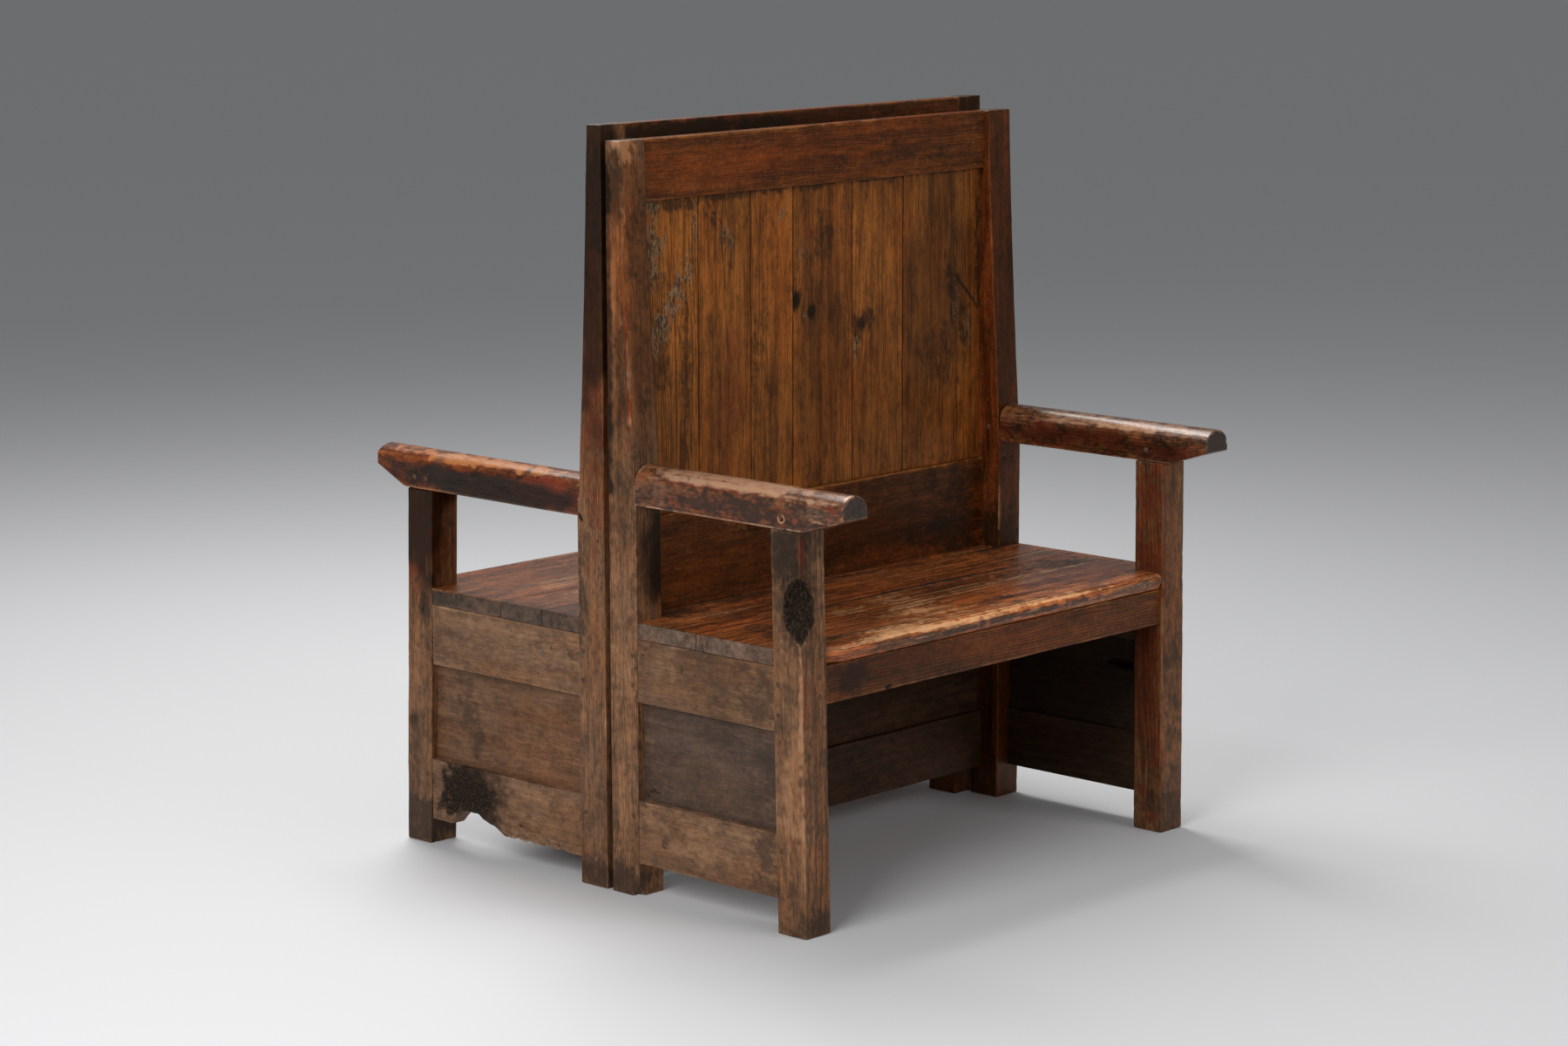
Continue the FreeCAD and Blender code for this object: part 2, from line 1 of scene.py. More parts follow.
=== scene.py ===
"""Dress a pair of old oak settles that stand back to back.

Every piece of joinery is rebuilt over its solid as a worn timber: a fine mesh whose arrises are rubbed
round, whose faces are ridged and hollowed by use, and whose vertices carry the grain, the wear, the
stains and some painted light and shade that the oak finishes read. Lengths are in metres unless a name
says otherwise.
"""
import itertools
import logging
import math
from dataclasses import dataclass, field, replace
from enum import Enum
from typing import Callable, Iterable, Sequence

import bpy
import numpy as np
from mathutils import Matrix, Vector


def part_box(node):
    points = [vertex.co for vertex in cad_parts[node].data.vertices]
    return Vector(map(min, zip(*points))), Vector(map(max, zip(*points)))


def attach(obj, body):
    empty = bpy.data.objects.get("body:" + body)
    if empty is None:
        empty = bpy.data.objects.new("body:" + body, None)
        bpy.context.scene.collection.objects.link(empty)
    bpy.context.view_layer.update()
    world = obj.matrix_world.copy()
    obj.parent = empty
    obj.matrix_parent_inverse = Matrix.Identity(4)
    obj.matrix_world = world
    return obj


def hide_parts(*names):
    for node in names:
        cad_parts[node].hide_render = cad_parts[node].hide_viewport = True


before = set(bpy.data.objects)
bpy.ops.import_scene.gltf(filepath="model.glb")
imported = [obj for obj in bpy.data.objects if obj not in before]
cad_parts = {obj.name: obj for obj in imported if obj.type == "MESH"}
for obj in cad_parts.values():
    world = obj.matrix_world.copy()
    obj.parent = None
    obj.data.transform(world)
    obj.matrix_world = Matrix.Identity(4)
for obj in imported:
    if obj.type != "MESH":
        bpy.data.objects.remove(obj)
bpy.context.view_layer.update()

LOG = logging.getLogger("settles")
MM = 0.001
Bend = Callable[[np.ndarray], np.ndarray]
Triple = tuple[float, float, float]
Colour = tuple[float, float, float, float]


def mm(*lengths: float) -> np.ndarray:
    """Millimetres as an array of metres."""
    return np.array(lengths, float) * MM


def seen(red: float, green: float, blue: float) -> Colour:
    """A colour as the eye names it, from 0 to 255, made linear.

    Args:
        red: Red as displayed.
        green: Green as displayed.
        blue: Blue as displayed.

    Returns:
        The colour for a shader socket.
    """
    shown = np.array([red, green, blue], float) / 255.0
    linear = np.where(shown <= 0.04045, shown / 12.92, ((shown + 0.055) / 1.055) ** 2.4)
    return (float(linear[0]), float(linear[1]), float(linear[2]), 1.0)


def smooth(values: np.ndarray) -> np.ndarray:
    """Ease values from 0 to 1, clipped at both ends."""
    t = np.clip(values, 0.0, 1.0)
    return t * t * (3.0 - 2.0 * t)


def cell_value(cells: np.ndarray, seed: int) -> np.ndarray:
    """A fixed value from -1 to 1 for each whole-numbered cell.

    Args:
        cells: Whole numbers, one row of three for each cell.
        seed: Picks one of many fields of values.

    Returns:
        One value for each row.
    """
    # The multipliers only have to be large and odd, so that neighbouring cells differ.
    mixed = cells[:, 0] * 73856093 ^ cells[:, 1] * 19349663 ^ cells[:, 2] * 83492791 ^ (seed + 1) * 40503
    mixed = (mixed ^ (mixed >> 13)) * 1274126177
    mixed = (mixed ^ (mixed >> 16)) & 0xFFFF
    return mixed / 32767.5 - 1.0


def noise(points: np.ndarray, size: float | Sequence[float], seed: int) -> np.ndarray:
    """Smooth noise from -1 to 1 whose features are about one size across.

    Args:
        points: Places, one row each.
        size: Feature size in metres, one for all axes or one for each.
        seed: Picks the field.

    Returns:
        One value for each place.
    """
    scaled = points / np.asarray(size, float)
    base = np.floor(scaled).astype(np.int64)
    part = smooth(scaled - base)
    total = np.zeros(len(points))
    for corner in itertools.product((0, 1), repeat=3):
        weight = np.prod(np.where(corner, part, 1.0 - part), axis=1)
        total += weight * cell_value(base + np.array(corner), seed)
    return total


def double_noise(points: np.ndarray, size: float, finer: float, seed: int) -> np.ndarray:
    """Smooth noise from -1 to 1 with features of two sizes.

    Args:
        points: Places, one row each.
        size: Size of the stronger features in metres.
        finer: Size of the weaker ones.
        seed: Picks the fields.

    Returns:
        One value for each place.
    """
    return noise(points, size, seed) * 0.6 + noise(points, finer, seed + 1) * 0.4


class Channel(Enum):
    """What a mark leaves on the surface, and the light and shade painted on it: a column of the vertex data
    that the finishes read.
    """

    WORN = 0
    GRIME_AND_SHADE = 1
    CHAR = 2
    RED = 3
    KNOT = 4
    TONE = 5
    TORN = 6
    WARM = 7


WORN, GRIME_AND_SHADE, CHAR, RED = Channel.WORN, Channel.GRIME_AND_SHADE, Channel.CHAR, Channel.RED
TONE, TORN, WARM = Channel.TONE, Channel.TORN, Channel.WARM


def add_mark(marks: np.ndarray, rows: np.ndarray, channel: Channel, amount: np.ndarray) -> None:
    """Add to one channel of the marked rows, within the bounds that the finishes read.

    Args:
        marks: One row of channels for each place, changed in place.
        rows: Which rows are marked.
        channel: What the mark changes.
        amount: Its strength at each marked row.
    """
    weakest, strongest = -1.0, 1.2
    column = channel.value
    marks[rows, column] = np.clip(marks[rows, column] + amount, weakest, strongest)


@dataclass(frozen=True)
class Patch:
    """A ragged patch of wear or stain; some patches paint light and shade instead.

    Attributes:
        channel: What the patch changes.
        centre: Its middle in the settle's frame, in mm.
        reach: How far it goes along x, y and z, in mm.
        amount: Strength at its middle, below zero to take away.
        ragged: How broken its rim is.
        grit: Size of the breaks, in mm.
    """

    channel: Channel
    centre: Triple
    reach: Triple
    amount: float = 1.0
    ragged: float = 0.5
    grit: float = 9.0

    def paint(self, points: np.ndarray, marks: np.ndarray, seed: int) -> None:
        """Add the patch to the marks of the points it covers.

        Args:
            points: Places in the settle's frame.
            marks: One row of channels for each place, changed in place.
            seed: Picks the noise of the rim.
        """
        reach = mm(*self.reach)
        away = np.linalg.norm((points - mm(*self.centre)) / reach, axis=1)
        near = away < 1.0 + self.ragged
        if not near.any():
            return
        broken = double_noise(points[near], self.grit * MM, self.grit * MM / 3, seed + 5)
        cover = smooth((1.0 - away[near] + self.ragged * broken) * 1.8) * self.amount
        add_mark(marks, near, self.channel, cover)


@dataclass(frozen=True)
class Hollow:
    """Wood that is gone: a rough hollow pressed into a timber.

    Attributes:
        centre: Middle of the hollow in the settle's frame, in mm.
        reach: Half sizes of the hollow along x, y and z, in mm.
        push: Direction in which the surface is pressed.
        rough: Unevenness of the hollow's floor, as a share of its size.
        grit: Size of the unevenness, in mm.
        stain: What the hollow's floor is stained with.
        amount: Strength of the stain.
    """

    centre: Triple
    reach: Triple
    push: Triple
    rough: float = 0.12
    grit: float = 8.0
    stain: Channel = Channel.GRIME_AND_SHADE
    amount: float = 0.6

    def carve(self, points: np.ndarray, marks: np.ndarray, seed: int) -> np.ndarray:
        """Press the points inside the hollow out to its floor.

        Args:
            points: Places in the settle's frame.
            marks: Channels of the places, changed in place.
            seed: Picks the roughness.

        Returns:
            The places, with those inside the hollow moved.
        """
        uneven = double_noise(points, self.grit * MM, self.grit * MM / 2.6, seed + 11)
        reach = mm(*self.reach) * (1.0 + self.rough * uneven)[:, None]
        along = np.array(self.push, float)
        along = along / np.linalg.norm(along)
        place = (points - mm(*self.centre)) / reach
        inside = np.einsum("ij,ij->i", place, place) < 1.0
        if not inside.any():
            return points
        q = place[inside]
        e = along[None, :] / reach[inside]
        qe = np.einsum("ij,ij->i", q, e)
        ee = np.einsum("ij,ij->i", e, e)
        qq = np.einsum("ij,ij->i", q, q)
        travel = (-qe + np.sqrt(np.maximum(qe * qe - ee * (qq - 1.0), 0.0))) / ee
        moved = points.copy()
        moved[inside] += along * travel[:, None]
        depth = smooth(travel / (0.35 * MM * min(self.reach)) + 0.2)
        add_mark(marks, inside, self.stain, self.amount * depth)
        return moved


@dataclass(frozen=True)
class Gouge:
    """A scratch, split or crack along a straight or slightly bowed line.

    Attributes:
        start: First end in the settle's frame, in mm.
        stop: Other end, in mm.
        width: Half width, in mm.
        depth: Depth, in mm.
        stain: What it is stained with.
        amount: Strength of the stain.
        wander: How far the line strays, in mm.
    """

    start: Triple
    stop: Triple
    width: float = 1.6
    depth: float = 1.2
    stain: Channel = Channel.GRIME_AND_SHADE
    amount: float = 1.0
    wander: float = 1.5

    def press(self, points: np.ndarray, normals: np.ndarray, marks: np.ndarray, seed: int) -> np.ndarray:
        """Press the groove into the surface.

        Args:
            points: Places in the settle's frame.
            normals: Outward directions at the places.
            marks: Channels of the places, changed in place.
            seed: Picks how the line strays.

        Returns:
            The places with the groove pressed in.
        """
        first, last = mm(*self.start), mm(*self.stop)
        span = last - first
        stray = np.stack([noise(points, 14 * MM, seed + 21 + axis) for axis in range(3)], 1)
        strayed = points + stray * self.wander * MM
        share = np.clip((strayed - first) @ span / (span @ span), 0.0, 1.0)
        away = np.linalg.norm(strayed - first - share[:, None] * span, axis=1)
        width = self.width * MM * (0.35 + 0.65 * np.sqrt(np.clip(4.0 * share * (1.0 - share), 0.0, 1.0)))
        near = away < width
        if not near.any():
            return points
        press = 1.0 - (away[near] / width[near]) ** 2
        moved = points.copy()
        moved[near] -= normals[near] * (self.depth * MM * press)[:, None]
        add_mark(marks, near, self.stain, self.amount * press)
        return moved


@dataclass(frozen=True)
class Knot:
    """A knot in a board, which the grain flows round.

    Attributes:
        centre: Its middle in the settle's frame, in mm.
        radius: Its radius, in mm.
        amount: How dark it is.
    """

    centre: Triple
    radius: float
    amount: float = 1.0

    def grow(self, points: np.ndarray, grain: np.ndarray, marks: np.ndarray, axes: Sequence[int],
             seed: int) -> None:
        """Darken the knot and spread the grain round it.

        Args:
            points: Places in the settle's frame.
            grain: Grain coordinates of the places, changed in place.
            marks: Channels of the places, changed in place.
            axes: The axis along the grain and the axis across it on the face.
            seed: Picks the knot's outline.
        """
        offset = points - mm(*self.centre)
        along, across = offset[:, axes[0]], offset[:, axes[1]]
        other = offset[:, 3 - axes[0] - axes[1]]
        radius = self.radius * MM * (1.0 + 0.3 * noise(points, self.radius * MM, seed + 31))
        fade = np.exp(-((along / (4.0 * radius)) ** 2) - (across / (2.2 * radius)) ** 2)
        grain[:, 1] -= np.tanh(across / radius) * 0.8 * radius * fade
        away = np.sqrt((along / 1.25) ** 2 + across**2 + (0.5 * other) ** 2) / radius
        cover = smooth(1.35 - away) * self.amount
        marks[:, Channel.KNOT.value] = np.maximum(marks[:, Channel.KNOT.value], cover)


Mark = Patch | Hollow | Gouge | Knot
Marks = dict[str, list[Mark]]


@dataclass(frozen=True)
class Fine:
    """A stretch of one axis where the mesh is finer, with its bounds and step in mm."""

    axis: int
    low: float
    high: float
    step: float


def link(name: str, data: bpy.types.ID) -> bpy.types.Object:
    """An object of the data, linked to the scene."""
    made = bpy.data.objects.new(name, data)
    bpy.context.scene.collection.objects.link(made)
    return made


def set_vectors(data: bpy.types.Mesh, values: dict[str, np.ndarray]) -> None:
    """Give a mesh vectors at its vertices, by attribute name, for the finishes to read."""
    for name, rows in values.items():
        layer = data.attributes.new(name, "FLOAT_VECTOR", "POINT")
        layer.data.foreach_set("vector", rows.astype(np.float32).ravel())


@dataclass
class Timber:
    """One worn timber, made as a fine box and then bent to its real form.

    Attributes:
        node: The solid it stands for.
        low: Lowest corner of the box in the settle's frame.
        high: Highest corner.
        along: The axis that the grain follows.
        finish: The oak finish it is dressed in.
        arris: Radii of the four long edges in mm, in the order low-low, low-high, high-low and high-high
            of the two axes across the grain.
        uneven: How much those radii vary.
        end_round: Radius of the edges at the ends, in mm.
        wave: Depth of the long waves in the faces, in mm.
        ridge: Depth of the worn grain ridges, in mm.
        band: Width of the pale wear beside the arrises, in mm.
        edge_wear: Strength of that wear.
        joint_dirt: Strength of the dirt that lies along the arrises instead.
        notches: Boxes cut out of it, as pairs of corners.
        fine: Stretches with a finer mesh.
        bends: What turns the box into the real form, in order.
        marks: Patches, hollows, gouges and knots.
        step: Mesh steps along and across the grain, in mm.
        pith: Where the heart of the tree lies across the grain, in mm.
        tone: Lighter above zero and darker below it.
        seed: Picks its noise.
    """

    node: str
    low: np.ndarray
    high: np.ndarray
    along: int
    finish: "OakFinish"
    arris: tuple[float, float, float, float] = (1.6, 1.6, 1.6, 1.6)
    uneven: float = 0.5
    end_round: float = 1.0
    wave: float = 0.5
    ridge: float = 0.18
    band: float = 7.0
    edge_wear: float = 0.7
    joint_dirt: float = 0.0
    notches: list[tuple[np.ndarray, np.ndarray]] = field(default_factory=list)
    fine: list[Fine] = field(default_factory=list)
    bends: list[Bend] = field(default_factory=list)
    marks: list[Mark] = field(default_factory=list)
    step: tuple[float, float] = (6.0, 3.0)
    pith: tuple[float, float] = (90.0, 60.0)
    tone: float = 0.0
    seed: int = 1

    def stops(self, axis: int) -> np.ndarray:
        """Where the mesh is cut along an axis: closely beside the edges and in the fine stretches.

        Args:
            axis: 0 for x, 1 for y and 2 for z.

        Returns:
            The places, rising.
        """
        low, high = self.low[axis], self.high[axis]
        round_off = self.end_round if axis == self.along else max(self.arris)
        edge = min(round_off * MM * (1.0 + self.uneven), 0.45 * (high - low))
        near = edge * np.array([0.0, 0.22, 0.45, 0.7, 1.0])
        step = (self.step[0] if axis == self.along else self.step[1]) * MM
        count = max(2, int(math.ceil((high - low - 2 * edge) / step)) + 1)
        found = [low + near, high - near, np.linspace(low + edge, high - edge, count)]
        for stretch in self.fine:
            if stretch.axis == axis:
                first = max(low, stretch.low * MM)
                last = min(high, stretch.high * MM)
                if last > first:
                    found.append(np.arange(first, last, stretch.step * MM))
        planes = [corner[axis] for notch in self.notches for corner in notch if low < corner[axis] < high]
        rising = np.unique(np.concatenate(found))
        kept = [rising[0]]
        closest = 0.25 * MM
        for place in rising[1:-1]:
            clear = all(abs(place - plane) > closest for plane in planes)
            if place - kept[-1] > closest and rising[-1] - place > closest and clear:
                kept.append(place)
        return np.unique(np.array(kept + [rising[-1]] + planes))

    def skin(self) -> tuple[np.ndarray, np.ndarray]:
        """The outer faces of the box, less its notches.

        Returns:
            The points, and the four corners of each face.
        """
        stops = [self.stops(axis) for axis in range(3)]
        middles = np.meshgrid(*[(s[1:] + s[:-1]) / 2 for s in stops], indexing="ij")
        solid = np.ones(middles[0].shape, bool)
        for corner, opposite in self.notches:
            cut = np.ones(solid.shape, bool)
            for axis in range(3):
                cut &= (middles[axis] > corner[axis]) & (middles[axis] < opposite[axis])
            solid &= ~cut
        padded = np.pad(solid, 1)
        sizes = [len(s) for s in stops]
        faces = []
        for axis in range(3):
            first, second = (axis + 1) % 3, (axis + 2) % 3
            trim = [slice(1, -1)] * 3
            below, above = list(trim), list(trim)
            below[axis], above[axis] = slice(0, -1), slice(1, None)
            low_side, high_side = padded[tuple(below)], padded[tuple(above)]
            for outward, found in ((True, low_side & ~high_side), (False, ~low_side & high_side)):
                at = np.argwhere(found)
                ring = [(0, 0), (1, 0), (1, 1), (0, 1)] if outward else [(0, 0), (0, 1), (1, 1), (1, 0)]
                corners = []
                for a, b in ring:
                    index = at.copy()
                    index[:, first] += a
                    index[:, second] += b
                    corners.append((index[:, 0] * sizes[1] + index[:, 1]) * sizes[2] + index[:, 2])
                faces.append(np.stack(corners, 1))
        quads = np.concatenate(faces)
        used, quads = np.unique(quads, return_inverse=True)
        quads = quads.reshape(-1, 4)
        index = np.stack(np.unravel_index(used, sizes), 1)
        points = np.stack([stops[axis][index[:, axis]] for axis in range(3)], 1)
        return points, quads

    def rubbed(self, points: np.ndarray) -> tuple[np.ndarray, np.ndarray, np.ndarray]:
        """Round the arrises by an uneven radius.

        Args:
            points: Places on the box.

        Returns:
            The rounded places, their outward directions, and how near each is to an arris, from 0 to 1.
        """
        middle, half = (self.low + self.high) / 2, (self.high - self.low) / 2
        offset = points - middle
        side = np.where(offset >= 0.0, 1.0, -1.0)
        across = [axis for axis in range(3) if axis != self.along]
        corner = (side[:, across[0]] > 0) * 2 + (side[:, across[1]] > 0)
        radius = np.array(self.arris)[corner] * MM
        line = np.zeros_like(points)
        line[:, 0] = points[:, self.along]
        line[:, 1] = corner * 0.37
        long_noise = double_noise(line, 0.075, 0.022, self.seed)
        nick = np.clip(noise(line, 0.011, self.seed + 2) - 0.62, 0.0, 1.0) * 3.0
        radius = radius * np.clip(1.0 + self.uneven * long_noise + self.uneven * nick, 0.3, 2.2)
        radii = np.repeat(radius[:, None], 3, 1)
        end_noise = noise(points, 0.012, self.seed + 3)
        radii[:, self.along] = self.end_round * MM * (1.0 + 0.5 * end_noise)
        radii = np.minimum(radii, 0.45 * half * 2)
        inward = np.maximum((np.abs(offset) - (half - radii)) / radii, 0.0)
        length = np.linalg.norm(inward, axis=1)
        hull = (np.abs(offset) > half - 1e-7).any(1)
        unit = inward / np.maximum(length, 1e-9)[:, None]
        pulled = side * (half - radii + radii * unit)
        rounded = np.where((inward > 0) & hull[:, None], pulled, offset) + middle
        normals = side * unit * hull[:, None]
        close = np.clip(1.0 - (half - np.abs(offset)) / (self.band * MM), 0.0, 1.0)
        near = np.sort(close, axis=1)[:, 1] * hull
        return rounded, normals, near

    def weather(self, points: np.ndarray, normals: np.ndarray, grain: np.ndarray) -> np.ndarray:
        """Press long waves and worn grain ridges into the faces, always inwards.

        Args:
            points: Places on the rounded box.
            normals: Outward directions.
            grain: Coordinates along and across the grain.

        Returns:
            The weathered places.
        """
        long_wave = noise(grain, (0.16, 0.05, 0.05), self.seed + 7)
        ridges = noise(grain, (0.045, 0.0052, 0.0052), self.seed + 8)
        dents = np.clip(noise(points, 0.018, self.seed + 9) - 0.6, 0.0, 1.0)
        depth = self.wave * (0.5 + 0.5 * long_wave)
        depth = depth + self.ridge * (0.5 + 0.5 * ridges) + 1.4 * self.wave * dents
        depth *= 1.0 - 0.85 * normals[:, self.along] ** 2
        return points - normals * (depth * MM)[:, None]

    def make(self, place: Callable[[np.ndarray], np.ndarray], mirrored: bool) -> bpy.types.Object:
        """Build the timber, wear it, and set it down.

        Args:
            place: Takes places in the settle's frame to the frame of the pair.
            mirrored: Whether that turns faces inside out.

        Returns:
            The finished piece.
        """
        across = [axis for axis in range(3) if axis != self.along]
        points, quads = self.skin()
        grain = points[:, [self.along] + across].copy()
        points, normals, near = self.rubbed(points)
        points = self.weather(points, normals, grain)
        for bend in self.bends:
            points = bend(points)
        marks = np.zeros((len(points), len(Channel)))
        rub = 0.45 + 0.75 * noise(points, 0.09, self.seed + 13) + 0.25 * noise(points, 0.02, self.seed + 14)
        marks[:, WORN.value] = self.edge_wear * smooth(near) * np.clip(rub, 0.0, 1.2)
        seam = smooth(near * 2.6 - 1.6) * (0.6 + 0.6 * noise(points, 0.05, self.seed + 15))
        marks[:, GRIME_AND_SHADE.value] = self.joint_dirt * np.clip(seam, 0.0, 1.2)
        marks[:, TONE.value] = self.tone
        widest = max(across, key=lambda axis: self.high[axis] - self.low[axis])
        for order, mark in enumerate(self.marks):
            # Each mark starts from a seed of its own.
            seed = self.seed * 31 + order * 7
            if isinstance(mark, Patch):
                mark.paint(points, marks, seed)
            elif isinstance(mark, Hollow):
                points = mark.carve(points, marks, seed)
            elif isinstance(mark, Gouge):
                points = mark.press(points, normals, marks, seed)
            else:
                mark.grow(points, grain, marks, (self.along, widest), seed)
        ends = normals[:, self.along] ** 2
        # Each timber comes from its own length of the tree.
        shift = mm(137.0 * (self.seed % 17), *self.pith)
        piece = self.mesh(place(points), quads[:, ::-1] if mirrored else quads)
        # The worn column of the wear also holds painted highlights and its grime column painted shade; the
        # tone column of the stain holds painted light and shade.
        set_vectors(piece.data, {
            "grain": grain + shift,
            "wear": marks[:, [WORN.value, GRIME_AND_SHADE.value, CHAR.value]],
            "stain": marks[:, [RED.value, Channel.KNOT.value, TONE.value]],
            "broken": np.stack([ends, marks[:, TORN.value], marks[:, WARM.value]], 1),
        })
        piece.data.materials.append(self.finish.material())
        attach(piece, "root")
        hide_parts(self.node)
        return piece

    def mesh(self, points: np.ndarray, quads: np.ndarray) -> bpy.types.Object:
        """Link a smooth-shaded mesh object of the points and faces.

        Args:
            points: Places in the frame of the pair.
            quads: Four corners of each face.

        Returns:
            The object, linked to the scene.
        """
        data = bpy.data.meshes.new(self.node + "_oak")
        data.vertices.add(len(points))
        data.vertices.foreach_set("co", points.astype(np.float32).ravel())
        data.loops.add(quads.size)
        data.loops.foreach_set("vertex_index", np.ascontiguousarray(quads, np.int32).ravel())
        data.polygons.add(len(quads))
        data.polygons.foreach_set("loop_start", np.arange(0, quads.size, 4, dtype=np.int32))
        data.polygons.foreach_set("loop_total", np.full(len(quads), 4, np.int32))
        data.update(calc_edges=True)
        data.polygons.foreach_set("use_smooth", np.ones(len(quads), bool))
        return link(self.node + "_oak", data)


class Net:
    """A small hand for wiring shader nodes."""

    def __init__(self, tree: bpy.types.NodeTree) -> None:
        """Take hold of a tree and clear it."""
        self.tree = tree
        tree.nodes.clear()

    def plug(self, socket: bpy.types.NodeSocket, value: object) -> None:
        """Link a socket to an output, or set it to a constant."""
        if isinstance(value, bpy.types.NodeSocket):
            self.tree.links.new(value, socket)
        else:
            socket.default_value = value

    def node(self, kind: str, inputs: dict[object, object] | None = None,
             **settings: object) -> bpy.types.Node:
        """Add a node.

        Args:
            kind: Its type, without the ShaderNode prefix.
            inputs: Values or outputs for its sockets, by name or number.
            settings: Its own properties.

        Returns:
            The node.
        """
        made = self.tree.nodes.new("ShaderNode" + kind)
        for name, value in settings.items():
            setattr(made, name, value)
        for name, value in (inputs or {}).items():
            self.plug(made.inputs[name], value)
        return made

    def math(self, operation: str, first: object, second: object = 0.0,
             third: object = 0.0) -> bpy.types.NodeSocket:
        """A math node's output."""
        return self.node("Math", {0: first, 1: second, 2: third}, operation=operation).outputs[0]

    def scaled(self, vector: object, factors: Triple) -> bpy.types.NodeSocket:
        """A vector with each axis scaled."""
        return self.node("VectorMath", {0: vector, 1: factors}, operation="MULTIPLY").outputs[0]

    def mist(self, vector: object, factors: Triple, detail: float = 2.0,
             rough: float = 0.55) -> bpy.types.NodeSocket:
        """Noise over a vector whose axes are scaled first, with features of one over the factor."""
        inputs = {"Vector": self.scaled(vector, factors), "Scale": 1.0, "Detail": detail, "Roughness": rough}
        return self.node("TexNoise", inputs).outputs["Fac"]

    def span(self, value: object, low: float, high: float, to_low: float = 0.0,
             to_high: float = 1.0) -> bpy.types.NodeSocket:
        """A value eased from one span to another and clamped."""
        inputs = {"Value": value, "From Min": low, "From Max": high, "To Min": to_low, "To Max": to_high}
        return self.node("MapRange", inputs, interpolation_type="SMOOTHSTEP").outputs["Result"]

    def mix(self, factor: object, first: object, second: object, blend: str = "MIX") -> bpy.types.NodeSocket:
        """One colour mixed into another."""
        made = self.node("Mix", data_type="RGBA", blend_type=blend, clamp_factor=True)
        self.plug(made.inputs[0], factor)
        self.plug(made.inputs[6], first)
        self.plug(made.inputs[7], second)
        return made.outputs[2]


class Socket(Enum):
    """The kinds of socket that the shared groups have."""

    NUMBER = "NodeSocketFloat"
    COLOUR = "NodeSocketColor"
    VECTOR = "NodeSocketVector"


def new_group(name: str, inputs: dict[str, Socket],
              outputs: dict[str, Socket]) -> tuple[Net, bpy.types.Node, bpy.types.Node]:
    """Start a shader group with named sockets.

    Args:
        name: The group's name.
        inputs: Kinds of its inputs by name.
        outputs: Kinds of its outputs by name.

    Returns:
        Its wiring hand, its input node and its output node.
    """
    tree = bpy.data.node_groups.new(name, "ShaderNodeTree")
    for title, kind in inputs.items():
        tree.interface.new_socket(title, in_out="INPUT", socket_type=kind.value)
    for title, kind in outputs.items():
        tree.interface.new_socket(title, in_out="OUTPUT", socket_type=kind.value)
    net = Net(tree)
    return net, tree.nodes.new("NodeGroupInput"), tree.nodes.new("NodeGroupOutput")


